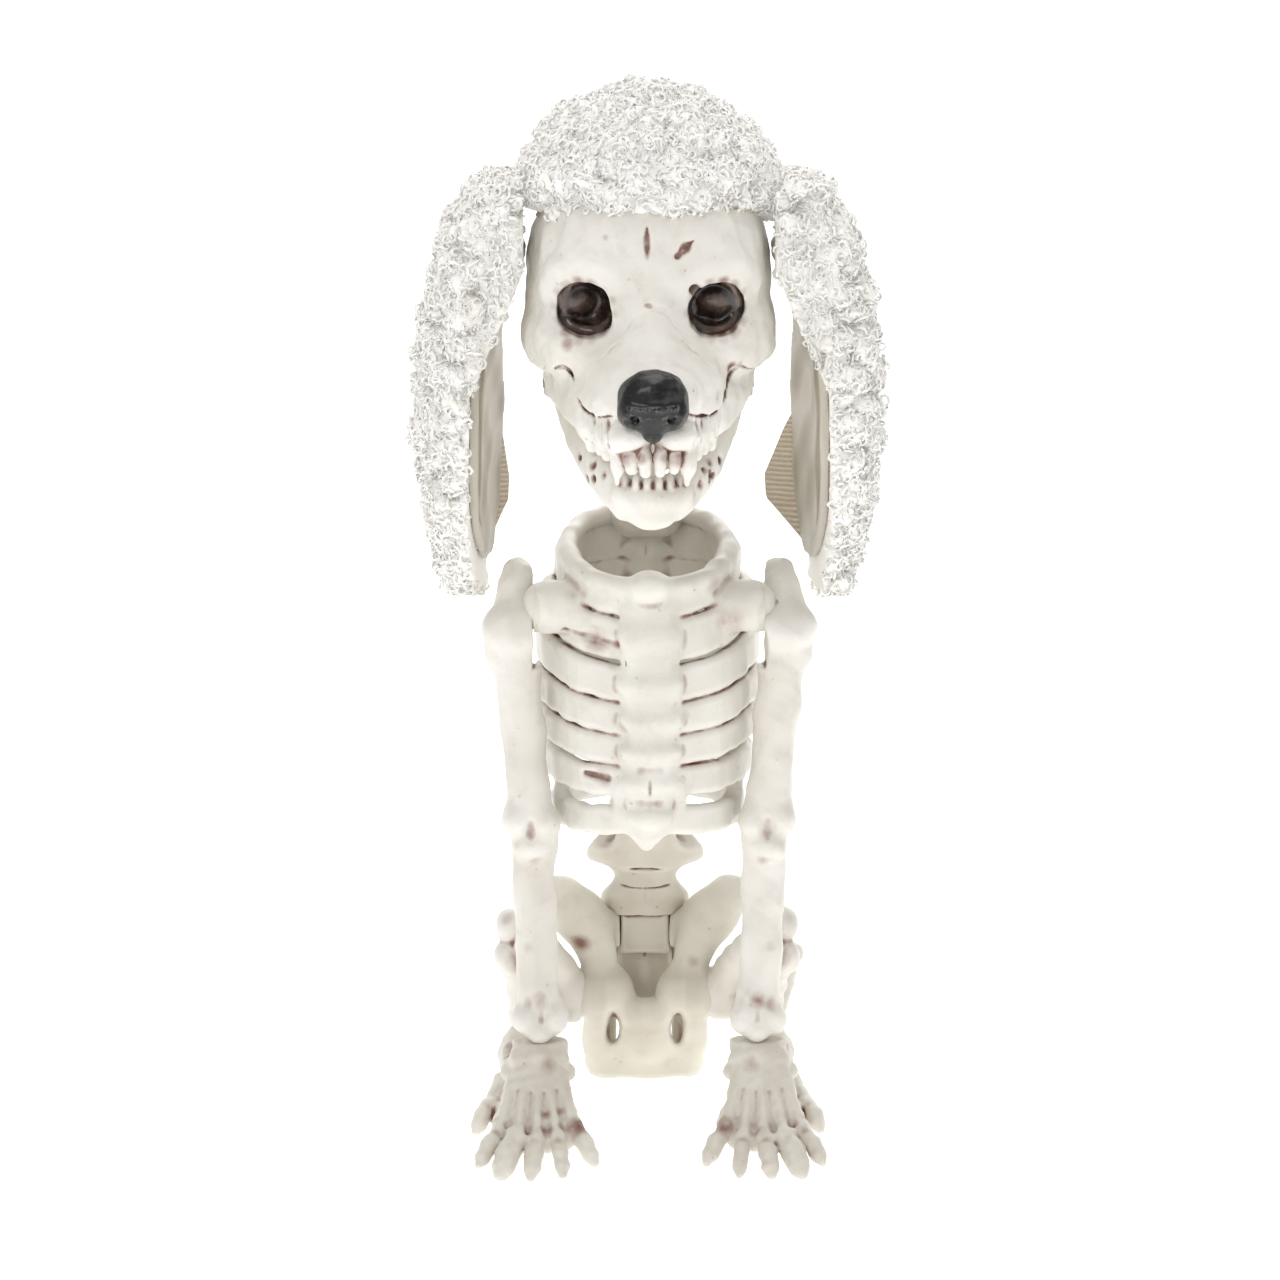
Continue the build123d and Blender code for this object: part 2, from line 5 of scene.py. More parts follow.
import bpy
import numpy as np
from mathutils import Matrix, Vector

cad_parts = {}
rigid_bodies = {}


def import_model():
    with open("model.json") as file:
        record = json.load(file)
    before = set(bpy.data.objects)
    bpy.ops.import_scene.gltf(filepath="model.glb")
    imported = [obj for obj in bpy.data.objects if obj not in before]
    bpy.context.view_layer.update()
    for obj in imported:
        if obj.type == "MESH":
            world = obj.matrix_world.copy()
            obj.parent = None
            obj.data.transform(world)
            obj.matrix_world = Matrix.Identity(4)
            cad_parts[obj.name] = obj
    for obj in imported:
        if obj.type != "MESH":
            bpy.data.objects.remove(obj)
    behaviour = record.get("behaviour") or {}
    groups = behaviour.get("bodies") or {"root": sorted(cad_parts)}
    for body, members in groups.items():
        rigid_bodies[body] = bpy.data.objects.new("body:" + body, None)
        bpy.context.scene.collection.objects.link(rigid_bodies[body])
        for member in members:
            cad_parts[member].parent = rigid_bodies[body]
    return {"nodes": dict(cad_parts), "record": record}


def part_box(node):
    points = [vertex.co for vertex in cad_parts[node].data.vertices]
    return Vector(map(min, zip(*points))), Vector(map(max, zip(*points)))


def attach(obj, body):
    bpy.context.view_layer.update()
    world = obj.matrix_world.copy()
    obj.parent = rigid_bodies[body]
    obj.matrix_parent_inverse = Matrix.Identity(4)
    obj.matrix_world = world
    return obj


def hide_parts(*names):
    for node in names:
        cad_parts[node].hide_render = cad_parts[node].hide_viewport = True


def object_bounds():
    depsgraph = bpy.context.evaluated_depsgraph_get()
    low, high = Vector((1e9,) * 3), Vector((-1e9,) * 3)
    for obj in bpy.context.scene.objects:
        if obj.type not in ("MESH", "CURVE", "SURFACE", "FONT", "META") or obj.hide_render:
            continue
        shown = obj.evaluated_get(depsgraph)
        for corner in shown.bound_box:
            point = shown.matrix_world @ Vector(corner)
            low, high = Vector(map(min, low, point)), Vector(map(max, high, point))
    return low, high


for leftover in list(bpy.data.objects):
    bpy.data.objects.remove(leftover)
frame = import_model()
cad_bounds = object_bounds()
MM = 0.001
SIDES = (("left", 1), ("right", -1))
BOTH = (1, -1)

body_of = {n: b for b, ns in frame["record"]["behaviour"]["bodies"].items() for n in ns}
slot_of = {s["node"]: s["material_slot"] for s in frame["record"]["subparts"]}

FAR = 8.0  # millimetres from the clay, where the grid holds none
MARGIN = 1.5  # extra millimetres of grid worked on round a form
BLUR_PASSES = 6  # how widely the clay is blurred to find its hollows
DARKENING_FROM, DARKENING_GAIN = 0.18, 1.1  # the hollowness where wash, or on fleece painted shade, starts to gather, and how fast it does
DAB_REACH, DAB_FADE = 1.3, 1.5  # a dab's reach in radii, and the curve it fades along
FLEECE_GLOW = 0.05  # stands in for light passed from fibre to fibre
FLOOR_GLOW = 0.6  # keeps the paper white under a soft shadow
WORLD_LIGHT = 0.36
# each light: its offset from the figure's middle and its size in metres, and its power in watts
LIGHTS = {
    "key": ((-0.9, -1.5, 1.3), 1.0, 1.0, 11.4), "fill": ((1.5, -1.2, 0.5), 1.4, 1.4, 3.4),
    "top": ((0.1, 0.1, 1.5), 1.2, 1.2, 11), "back": ((0.3, 1.4, 0.9), 1.6, 1.0, 8),
}

# where the middle of each piece's CAD box lies in the drawings below, in millimetres, left side
DRAWN_MIDDLE = {
    "ribcage_left": (0, 1.6, 156), "lumbar_left": (0, 48.75, 74.75), "pelvis": (0, 53, 38),
    "sacrum_left": (0, 66, 35), "tail": (0, 80.35, 34.75), "neck": (0, 19.1, 226.7),
    "skull_top": (0, -27.9, 287), "jaw": (0, -41.8, 243.5), "nose": (0, -90.3, 263),
    "eye_socket_left": (20.5, -46, 283), "fur_cap": (0, -7.8, 328.5), "ear_shell_left": (45.9, -8, 252),
    "ear_fur_left": (65.6, -8, 256), "front_leg_left": (40.6, -18.5, 117),
    "front_paw_left": (37.25, -42, 19), "hind_leg_left": (36, 25.25, 50), "hind_paw_left": (41, 10.6, 25.15),
}


def middle_of(nodes):
    """The middle of the box round some CAD nodes, in millimetres."""
    boxes = [np.array(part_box(n)) for n in nodes]
    return (np.min([b[0] for b in boxes], 0) + np.max([b[1] for b in boxes], 0)) / 2 / MM


# ------------------------------------------------------------------ modelling clay
class Clay:
    """A block of clay that bone forms are pressed into and hollows are carved out of.

    Forms are drawn in millimetres in the figure's own frame, for its left side; x runs outward.
    The whole block then moves with the box of the CAD nodes that it stands for.
    """

    def __init__(self, nodes, low, high, grain=0.7, side=1):
        self.nodes = (nodes,) if isinstance(nodes, str) else nodes
        self.side, self.grain = side, grain
        drawn = DRAWN_MIDDLE[self.nodes[0].replace("_right", "_left")]
        self.shift = middle_of(self.nodes) * (side, 1, 1) - drawn
        self.low = np.array(low, float)
        count = np.ceil((np.array(high, float) - self.low) / grain).astype(int) + 1
        self.axes = [self.low[i] + grain * np.arange(count[i]) for i in range(3)]
        self.field = np.full(count, FAR, np.float32)
        self.stains_and_shade = []
        self.rough = np.zeros(count, np.float32)

    def window(self, low, high):
        """The part of the grid between two corners, and its open x, y, z arrays."""
        spans = []
        for i in range(3):
            a = int(np.floor((low[i] - self.low[i]) / self.grain))
            b = int(np.ceil((high[i] - self.low[i]) / self.grain)) + 1
            spans.append(slice(max(a, 0), max(min(b, len(self.axes[i])), 0)))
        x, y, z = (self.axes[i][spans[i]].astype(np.float32) for i in range(3))
        return tuple(spans), x[:, None, None], y[None, :, None], z[None, None, :]

    def press(self, distance, low, high, melt, carve=False):
        """Joins a form to the clay, or carves it away, with edges rounded over melt."""
        spans, x, y, z = self.window(np.array(low) - melt - MARGIN, np.array(high) + melt + MARGIN)
        old = self.field[spans]
        if not old.size:
            return
        new = np.broadcast_to(distance(x, y, z), old.shape).astype(np.float32)
        if carve:
            h = np.clip(0.5 - 0.5 * (old + new) / melt, 0, 1)
            self.field[spans] = old * (1 - h) - new * h + melt * h * (1 - h)
        else:
            h = np.clip(0.5 + 0.5 * (new - old) / melt, 0, 1)
            self.field[spans] = new * (1 - h) + old * h - melt * h * (1 - h)

    def knob(self, centre, radii, melt, carve=False):
        """An egg-shaped swelling or dent."""
        c = np.array(centre, float)
        r = np.array(radii if np.ndim(radii) else [radii] * 3, float)

        def distance(x, y, z):
            dx, dy, dz = x - c[0], y - c[1], z - c[2]
            k0 = np.sqrt((dx / r[0]) ** 2 + (dy / r[1]) ** 2 + (dz / r[2]) ** 2) + 1e-6
            k1 = np.sqrt((dx / r[0] ** 2) ** 2 + (dy / r[1] ** 2) ** 2 + (dz / r[2] ** 2) ** 2) + 1e-6
            return k0 * (k0 - 1) / k1

        self.press(distance, c - r, c + r, melt, carve)

    def rod(self, points, radii, melt, squash=(1, 1, 1), carve=False):
        """A bone along a path; squash widens it along x, y or z."""
        p = np.array(points, float)
        r = np.array(radii if np.ndim(radii) else [radii] * len(p), float)
        if len(p) > 2:
            p, r = smooth_path(p, r)
        q = np.array(squash, float)

        def distance(x, y, z):
            best = None
            for a, b, ra, rb in zip(p[:-1] / q, p[1:] / q, r[:-1], r[1:]):
                d = b - a
                ax, ay, az = x / q[0] - a[0], y / q[1] - a[1], z / q[2] - a[2]
                t = np.clip((ax * d[0] + ay * d[1] + az * d[2]) / max(d @ d, 1e-9), 0, 1)
                gap = np.sqrt((ax - t * d[0]) ** 2 + (ay - t * d[1]) ** 2 + (az - t * d[2]) ** 2)
                gap = gap - (ra + (rb - ra) * t)
                best = gap if best is None else np.minimum(best, gap)
            return best

        reach = r.max() * q
        self.press(distance, p.min(0) - reach, p.max(0) + reach, melt, carve)

    def groove(self, line, widths, depth, front=(-100, 4), melt=0.5):
        """Scores a line of even depth into the skin, along a line drawn on the front view."""
        p, w = smooth_path(np.array([(a, 0, c) for a, c in line], float), np.array(widths, float), 3)
        spans, x, _, z = self.window((p[:, 0].min() - 2, front[0], p[:, 2].min() - 2),
                                     (p[:, 0].max() + 2, front[1], p[:, 2].max() + 2))
        old, best = self.field[spans], None
        for a, b, wa, wb in zip(p[:-1], p[1:], w[:-1], w[1:]):
            d = b - a
            t = np.clip(((x - a[0]) * d[0] + (z - a[2]) * d[2]) / max(d @ d, 1e-9), 0, 1)
            gap = np.sqrt((x - a[0] - t * d[0]) ** 2 + (z - a[2] - t * d[2]) ** 2) - wa - (wb - wa) * t
            best = gap if best is None else np.minimum(best, gap)
        new = np.maximum(np.broadcast_to(best, old.shape), -old - depth).astype(np.float32)
        h = np.clip(0.5 - 0.5 * (old + new) / melt, 0, 1)
        self.field[spans] = old * (1 - h) - new * h + melt * h * (1 - h)

    def spool(self, sections, melt):
        """A turned-looking column: sections are (height, middle y, half-width, half-depth), top first."""
        s = np.array(sections, float)[::-1]
        heights = np.linspace(s[0, 0], s[-1, 0], 60)
        fine = np.stack([np.interp(heights, s[:, 0], s[:, i]) for i in range(4)], 1)
        for i in range(1, 4):
            fine[1:-1, i] = (fine[:-2, i] + 2 * fine[1:-1, i] + fine[2:, i]) / 4
            fine[1:-1, i] = (fine[:-2, i] + 2 * fine[1:-1, i] + fine[2:, i]) / 4

        def distance(x, y, z):
            cy, rx, ry = (np.interp(z, heights, fine[:, i]) for i in (1, 2, 3))
            k = np.sqrt((x / rx) ** 2 + ((y - cy) / ry) ** 2) + 1e-6
            reach = np.sqrt(x ** 2 + (y - cy) ** 2)
            side = (reach - reach / k) * 0.85
            cap = np.maximum(z - s[-1, 0], s[0, 0] - z)
            return np.maximum(side, cap)

        low = (-s[:, 2].max(), (s[:, 1] - s[:, 3]).min(), s[0, 0])
        high = (s[:, 2].max(), (s[:, 1] + s[:, 3]).max(), s[-1, 0])
        self.press(distance, low, high, melt)

    def window_hole(self, centre, half, depth, squareness):
        """Carves an opening, between round and square, straight through along y."""
        c, h = np.array(centre, float), np.array(half, float)

        def distance(x, y, z):
            k = (abs((x - c[0]) / h[0]) ** squareness + abs((z - c[2]) / h[1]) ** squareness) ** (1 / squareness)
            return np.maximum((k - 1) * min(h), abs(y - c[1]) - depth)

        self.press(distance, c - (h[0], depth, h[1]), c + (h[0], depth, h[1]), 0.8, carve=True)

    def band(self, points, half_height, half_thick, melt, corner):
        """A flat strap on edge along a level path, such as a rib."""
        p, _ = smooth_path(np.array(points, float), np.ones(len(points)), 4)

        def distance(x, y, z):
            best = None
            for a, b in zip(p[:-1], p[1:]):
                d = b - a
                t = np.clip(((x - a[0]) * d[0] + (y - a[1]) * d[1]) / (d[0] ** 2 + d[1] ** 2), 0, 1)
                across = np.sqrt((x - a[0] - t * d[0]) ** 2 + (y - a[1] - t * d[1]) ** 2) - half_thick + corner
                up = abs(z - a[2] - t * d[2]) - half_height + corner
                gap = (np.sqrt(np.maximum(across, 0) ** 2 + np.maximum(up, 0) ** 2)
                       + np.minimum(np.maximum(across, up), 0) - corner)
                best = gap if best is None else np.minimum(best, gap)
            return best

        reach = np.array((half_thick, half_thick, half_height))
        self.press(distance, p.min(0) - reach, p.max(0) + reach, melt)

    def slab(self, centre, half, corner, melt, carve=False, lean=0.0):
        """A block with rounded corners; lean tips it about x, in degrees."""
        c, h = np.array(centre, float), np.array(half, float) - corner
        cs, sn = math.cos(math.radians(lean)), math.sin(math.radians(lean))

        def distance(x, y, z):
            dx, dy, dz = x - c[0], y - c[1], z - c[2]
            dy, dz = dy * cs + dz * sn, dz * cs - dy * sn
            qx, qy, qz = abs(dx) - h[0], abs(dy) - h[1], abs(dz) - h[2]
            outer = np.sqrt(np.maximum(qx, 0) ** 2 + np.maximum(qy, 0) ** 2 + np.maximum(qz, 0) ** 2)
            return outer + np.minimum(np.maximum(np.maximum(qx, qy), qz), 0) - corner

        reach = np.array([half[0], half[1] + half[2], half[1] + half[2]]) if lean else np.array(half)
        self.press(distance, c - reach, c + reach, melt, carve)

    def cut(self, normal, offset):
        """Slices away everything past a plane, where normal dot point is over offset."""
        melt = 0.3
        n = np.array(normal, float) / np.linalg.norm(normal)
        x, y, z = (a.astype(np.float32) for a in self.axes)
        plane = (n[0] * x[:, None, None] + n[1] * y[None, :, None] + n[2] * z[None, None, :]) - offset
        h = np.clip(0.5 - 0.5 * (self.field - plane) / melt, 0, 1)
        self.field = self.field * (1 - h) + plane * h + melt * h * (1 - h)

    def roughen(self, size, height, seed):
        """Gentle unevenness, as sculpted bone has."""
        rng = np.random.default_rng(seed)
        x, y, z = self.axes[0][:, None, None], self.axes[1][None, :, None], self.axes[2][None, None, :]
        for _ in range(6):
            f = rng.normal(size=3)
            f *= rng.uniform(0.7, 1.3) * 2 * np.pi / size / np.linalg.norm(f)
            a, b, c = (np.exp(1j * f[i] * v) for i, v in enumerate((x, y, z)))
            wave = (a * b * c * np.exp(1j * rng.uniform(0, 6.3))).real
            self.rough += (height * 0.42 * wave).astype(np.float32)

    def stain_and_shade(self, centre, radius, strength):
        """A dab of darkening: brown wash for stains, painted shade between the teeth."""
        self.stains_and_shade.append((np.array(centre, float), radius, strength))

    def dab(self, *dabs):
        """Several dabs of darkening (wash, and painted shade between the teeth), each with its centre, radius and
        strength.
        """
        for centre, radius, strength in dabs:
            self.stain_and_shade(centre, radius, strength)

    def skin(self, name, hollow_gain=2.2):
        """Skins the clay with a mesh, darker in its hollows (brown wash on bone, painted shade on fleece), and puts it
        on its body.
        """
        verts, faces = skin_of(self.field + self.rough)
        blurred = self.field
        for _ in range(BLUR_PASSES):
            for axis in range(3):
                padded = np.concatenate([np.take(blurred, [0], axis), blurred, np.take(blurred, [-1], axis)], axis)
                n = blurred.shape[axis]
                blurred = (np.take(padded, range(n), axis) + 2 * blurred
                           + np.take(padded, range(2, n + 2), axis)) * 0.25
        bend = (self.field - blurred) * hollow_gain / self.grain
        base = np.clip(np.floor(verts).astype(int), 0, np.array(bend.shape) - 2)
        share = verts - base
        hollow = 0
        for corner in np.ndindex(2, 2, 2):
            weight = np.prod(np.where(corner, share, 1 - share), axis=1)
            hollow = hollow + weight * bend[tuple((base + corner).T)]
        # the hollow layer: brown wash on bone, painted shade in the fleece pile; the dabs below add to it
        wash = np.clip((hollow - DARKENING_FROM) * DARKENING_GAIN, 0, 1)
        edge = np.clip(-hollow, 0, 1)
        points = verts * self.grain + self.low
        for c, radius, strength in self.stains_and_shade:
            gap = np.linalg.norm((points - c) / radius, axis=1)
            wash = np.maximum(wash, strength * np.clip(DAB_REACH - gap, 0, 1) ** DAB_FADE)
        points = (points + self.shift) * (self.side * MM, MM, MM)
        if self.side < 0:
            faces = faces[:, ::-1]
        obj = mesh_object(name, points, faces)
        for label, values in (("wash", wash), ("edge", edge)):
            layer = obj.data.attributes.new(label, "FLOAT", "POINT")
            layer.data.foreach_set("value", values.astype(np.float32))
        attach(obj, body_of[self.nodes[0]])
        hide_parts(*self.nodes)
        obj.data.materials.append(finishes[slot_of[self.nodes[0]]])
        return obj


def smooth_path(p, r, steps=6):
    """Rounds a path's corners (Catmull-Rom) and carries its radii along."""
    ends = np.vstack([2 * p[0] - p[1], p, 2 * p[-1] - p[-2]])
    rends = np.concatenate([[r[0]], r, [r[-1]]])
    out, radii = [], []
    for i in range(len(p) - 1):
        a, b, c, d = ends[i:i + 4]
        for t in np.arange(steps) / steps:
            out.append(0.5 * (2 * b + (c - a) * t + (2 * a - 5 * b + 4 * c - d) * t * t
                              + (3 * b - a - 3 * c + d) * t ** 3))
            e = t * t * (3 - 2 * t)
            radii.append(rends[i + 1] * (1 - e) + rends[i + 2] * e)
    return np.array(out + [p[-1]]), np.array(radii + [r[-1]])


def skin_of(field):
    """A closed quad skin round the negative part of a grid (surface nets)."""
    f = np.pad(field, 1, constant_values=FAR)
    inside = f < 0
    n = np.array(f.shape) - 1
    offsets = [(i, j, k) for i in (0, 1) for j in (0, 1) for k in (0, 1)]
    count = sum(inside[i:n[0] + i, j:n[1] + j, k:n[2] + k].astype(np.int8) for i, j, k in offsets)
    cells = np.argwhere((count > 0) & (count < 8))
    corner = np.stack([f[cells[:, 0] + i, cells[:, 1] + j, cells[:, 2] + k] for i, j, k in offsets], 1)
    total, hits = np.zeros((len(cells), 3)), np.zeros(len(cells))
    for a in range(8):
        for b in range(a + 1, 8):
            pa, pb = np.array(offsets[a]), np.array(offsets[b])
            if abs(pa - pb).sum() != 1:
                continue
            va, vb = corner[:, a], corner[:, b]
            crossing = (va < 0) != (vb < 0)
            t = np.where(crossing, va / np.where(crossing, va - vb, 1), 0)
            total += np.where(crossing[:, None], pa + t[:, None] * (pb - pa), 0)
            hits += crossing
    verts = cells + total / hits[:, None]
    index = np.full(n, -1, np.int64)
    index[tuple(cells.T)] = np.arange(len(cells))
    faces = []
    for axis in range(3):
        u, v = (axis + 1) % 3, (axis + 2) % 3
        a = [slice(None)] * 3
        b = [slice(None)] * 3
        a[axis], b[axis] = slice(0, f.shape[axis] - 1), slice(1, None)
        change = inside[tuple(a)] != inside[tuple(b)]
        e = np.argwhere(change)
        e = e[(e[:, u] > 0) & (e[:, v] > 0) & (e[:, u] < n[u]) & (e[:, v] < n[v])]
        start_in = inside[tuple(e.T)]
        quad = []
        for du, dv in ((-1, -1), (0, -1), (0, 0), (-1, 0)):
            c = e.copy()
            c[:, u] += du
            c[:, v] += dv
            quad.append(index[tuple(c.T)])
        quad = np.stack(quad, 1)
        quad = np.where(start_in[:, None], quad, quad[:, ::-1])
        faces.append(quad[(quad >= 0).all(1)])
    return verts - 1, np.concatenate(faces)


def mesh_object(name, points, faces):
    """A mesh object from points in metres and quads or triangles."""
    mesh = bpy.data.meshes.new(name)
    faces = np.asarray(faces)
    mesh.vertices.add(len(points))
    mesh.vertices.foreach_set("co", np.asarray(points, np.float32).ravel())
    mesh.loops.add(faces.size)
    mesh.loops.foreach_set("vertex_index", faces.ravel().astype(np.int32))
    mesh.polygons.add(len(faces))
    mesh.polygons.foreach_set("loop_start", (np.arange(len(faces)) * faces.shape[1]).astype(np.int32))
    mesh.update(calc_edges=True)
    mesh.validate()
    mesh.polygons.foreach_set("use_smooth", np.ones(len(mesh.polygons), bool))
    obj = bpy.data.objects.new(name, mesh)
    bpy.context.scene.collection.objects.link(obj)
    return obj


# ------------------------------------------------------------------ finishes
def linear(hex_colour):
    """An sRGB hex colour as linear light, for the shaders."""
    channels = [int(hex_colour[i:i + 2], 16) / 255 for i in (1, 3, 5)]
    return [c / 12.92 if c <= 0.04045 else ((c + 0.055) / 1.055) ** 2.4 for c in channels] + [1.0]


def add_node(tree, kind, settings=None, **links):
    """Adds a node with its settings; each link is a socket's value or another node's output."""
    node = tree.nodes.new(kind)
    for key, value in (settings or {}).items():
        setattr(node, key, value)
    for key, value in links.items():
        socket = node.inputs[int(key[1:])] if key[1:].isdigit() else node.inputs[key.replace("_", " ")]
        if isinstance(value, bpy.types.NodeSocket):
            tree.links.new(value, socket)
        else:
            socket.default_value = value
    return node


def new_finish(name, **constants):
    """An empty finish: its tree and its shader, with constants set on the shader."""
    material = bpy.data.materials.new(name)
    material.use_nodes = True
    tree = material.node_tree
    shader = next(n for n in tree.nodes if n.type == "BSDF_PRINCIPLED")
    for key, value in constants.items():
        shader.inputs[key.replace("_", " ")].default_value = value
    return material, tree, shader


def spread(tree, value, low, high, out_low=0.0, out_high=1.0):
    """Carries a value from one range to another, held at the ends."""
    return add_node(tree, "ShaderNodeMapRange", {"clamp": True}, i0=value, i1=low, i2=high, i3=out_low,
                    i4=out_high).outputs[0]


def mix(tree, share, a, b):
    """A blend of two colours."""
    node = add_node(tree, "ShaderNodeMix", {"data_type": "RGBA"}, i0=share, i6=a, i7=b)
    return node.outputs[2]


def math_node(tree, operation, a, b):
    """One sum on two values."""
    return add_node(tree, "ShaderNodeMath", {"operation": operation}, i0=a, i1=b).outputs[0]


def noise(tree, place_, size, detail, roughness=0.55):
    """Noise whose features are about this many millimetres across."""
    return add_node(tree, "ShaderNodeTexNoise", Vector=place_, Scale=1000.0 / size, Detail=detail,
                    Roughness=roughness).outputs[0]


def object_place(tree):
    """Where on the piece a point lies."""
    return add_node(tree, "ShaderNodeTexCoord").outputs["Object"]


def painted(tree, label):
    """A value stored at each point of the mesh."""
    return add_node(tree, "ShaderNodeAttribute", {"attribute_name": label}).outputs["Fac"]


def bump(tree, shader, height, strength, distance):
    """Fine relief on the finish, this many metres deep."""
    relief = add_node(tree, "ShaderNodeBump", Strength=strength, Distance=distance, Height=height)
    tree.links.new(relief.outputs[0], shader.inputs["Normal"])


def bone_plastic(name, base, wash_tone, wash_gain, gloss, shade):
    """Injection-moulded PVC, cast off-white, with a thin brown wash wiped into its hollows.

    The soft-edged wash in pores and creases is what makes the plastic read as old bone.
    """
    material, tree, shader = new_finish(name, Roughness=gloss, IOR=1.5, Specular_IOR_Level=0.42)
    at = object_place(tree)
    wash = painted(tree, "wash")
    edge = painted(tree, "edge")
    broad = noise(tree, at, 24.0, 2.0)
    middle = noise(tree, at, 6.0, 4.0)
    fine = noise(tree, at, 1.3, 3.0)
    tone = mix(tree, spread(tree, broad, 0.35, 0.7), linear(base), linear(shade))
    tone = mix(tree, spread(tree, middle, 0.56, 0.74, 0.0, 0.22), tone, linear("#c3b4a0"))
    patchy = math_node(tree, "MULTIPLY", wash, spread(tree, middle, 0.3, 0.6, 0.45, 1.15))
    patchy = math_node(tree, "MULTIPLY", patchy, wash_gain)
    soft = spread(tree, patchy, 0.06, 0.62)
    tone = mix(tree, math_node(tree, "MULTIPLY", soft, 0.88), tone, linear(wash_tone))
    deep = spread(tree, patchy, 0.55, 1.1, 0.0, 0.8)
    tone = mix(tree, deep, tone, linear("#5a3a30"))
    # painted highlight: lighter along ridges and edges
    tone = mix(tree, spread(tree, edge, 0.25, 0.9, 0.0, 0.35), tone, linear("#f4f1ea"))
    # sparse flecks where the wash caught in pores, about 0.7 mm across
    pores = add_node(tree, "ShaderNodeTexVoronoi", {"feature": "F1"}, Vector=at, Scale=240.0).outputs[0]
    fleck = math_node(tree, "MULTIPLY", spread(tree, pores, 0.10, 0.17, 1.0, 0.0),
                      spread(tree, middle, 0.55, 0.68))
    tone = mix(tree, math_node(tree, "MULTIPLY", fleck, 0.5), tone, linear("#8f7468"))
    tree.links.new(tone, shader.inputs["Base Color"])
    rise = math_node(tree, "ADD", math_node(tree, "MULTIPLY", middle, 0.7),
                     math_node(tree, "MULTIPLY", fine, 0.3))
    bump(tree, shader, rise, 0.5, 0.0009)
    return material


def glossy_black():
    """Black enamel brushed on the nose: a smooth clear shine, with a scuffed ridge across it."""
    material, tree, shader = new_finish("nose_enamel", Roughness=0.3, IOR=1.4, Coat_Weight=0.35,
                                        Coat_Roughness=0.05)
    at = object_place(tree)
    scuff = noise(tree, at, 1.6, 5.0, 0.7)
    edge = painted(tree, "edge")
    worn = math_node(tree, "MULTIPLY", spread(tree, scuff, 0.5, 0.68), spread(tree, edge, 0.12, 0.6))
    tree.links.new(mix(tree, worn, linear("#0b0a09"), linear("#5f5a55")), shader.inputs["Base Color"])
    bump(tree, shader, scuff, 0.35, 0.0006)
    return material


def socket_paint():
    """Dark brown gloss paint pooled in the eye sockets, thin over the domed eyes."""
    material, tree, shader = new_finish("socket_paint", Roughness=0.24, IOR=1.5, Coat_Weight=0.35,
                                        Coat_Roughness=0.12)
    at = object_place(tree)
    edge = painted(tree, "edge")
    cloud = noise(tree, at, 4.0, 4.0)
    thin = math_node(tree, "ADD", spread(tree, edge, 0.05, 0.8, 0.0, 0.5), spread(tree, cloud, 0.45, 0.75, 0, 0.5))
    tone = mix(tree, thin, linear("#241a16"), linear("#7a6254"))
    tree.links.new(tone, shader.inputs["Base Color"])
    bump(tree, shader, cloud, 0.4, 0.0007)
    return material


def fleece(name, light, dark):
    """Curly polyester sherpa pile: matt fibres whose fuzz catches light at the edges, with painted shade down in the
    pile.
    """
    material, tree, shader = new_finish(name, Roughness=0.9, IOR=1.5, Specular_IOR_Level=0.1,
                                        Sheen_Weight=0.25, Sheen_Roughness=0.6)
    at = object_place(tree)
    tuft = noise(tree, at, 5.0, 2.0)
    fibre = noise(tree, at, 0.8, 3.0)
    # on fleece the 'wash' layer is painted shade: the tone darkens towards #dcd7cd in the pile's hollows and towards
    # each curl's root
    depth = painted(tree, "wash")
    tone = mix(tree, spread(tree, tuft, 0.3, 0.7), linear(light), linear(dark))
    tone = mix(tree, spread(tree, depth, 0.1, 0.9, 0.0, 0.3), tone, linear("#dcd7cd"))
    tree.links.new(tone, shader.inputs["Base Color"])
    tree.links.new(tone, shader.inputs["Emission Color"])
    shader.inputs["Emission Strength"].default_value = FLEECE_GLOW
    bump(tree, shader, fibre, 0.3, 0.0004)
    return material


def rib_knit():
    """Beige rib-knit backing of the pile: rounded ribs about 1.6 mm apart with soft shaded valleys."""
    material, tree, shader = new_finish("knit_backing", Roughness=0.88, IOR=1.5, Specular_IOR_Level=0.25,
                                        Sheen_Weight=0.2, Sheen_Roughness=0.5)
    at = object_place(tree)
    ribs = add_node(tree, "ShaderNodeTexWave", {"wave_type": "BANDS", "bands_direction": "Z", "wave_profile": "SIN"},
                    Vector=at, Scale=200.0, Distortion=1.2, Detail=1.0).outputs["Fac"]
    stitches = noise(tree, at, 0.7, 2.0)
    tone = mix(tree, spread(tree, ribs, 0.15, 0.8), linear("#cdbda5"), linear("#e6dbc8"))
    tone = mix(tree, spread(tree, stitches, 0.45, 0.7, 0.0, 0.3), tone, linear("#f0e6d8"))
    tree.links.new(tone, shader.inputs["Base Color"])
    rise = math_node(tree, "ADD", ribs, math_node(tree, "MULTIPLY", stitches, 0.25))
    bump(tree, shader, rise, 0.8, 0.0006)
    return material


def plain_plastic(name, base, gloss):
    """Turned acetal discs, unpainted: even off-white with faint handling scratches."""
    material, tree, shader = new_finish(name, Roughness=gloss, IOR=1.48)
    at = object_place(tree)
    scratch = noise(tree, at, 2.0, 5.0, 0.7)
    tone = mix(tree, spread(tree, scratch, 0.5, 0.75, 0.0, 0.3), linear(base), linear("#bcb3a4"))
    tree.links.new(tone, shader.inputs["Base Color"])
    bump(tree, shader, scratch, 0.2, 0.0003)
    return material


def drawn_steel(name, base):
    """Zinc-plated drawn steel of the pins and screws: fine grey grain, soft sheen."""
    material, tree, shader = new_finish(name, Metallic=1.0, Roughness=0.38)
    at = object_place(tree)
    grain = noise(tree, at, 0.6, 4.0, 0.7)
    tone = mix(tree, spread(tree, grain, 0.35, 0.7), linear(base), linear("#7f7d79"))
    tree.links.new(tone, shader.inputs["Base Color"])
    bump(tree, shader, grain, 0.2, 0.0001)
    return material


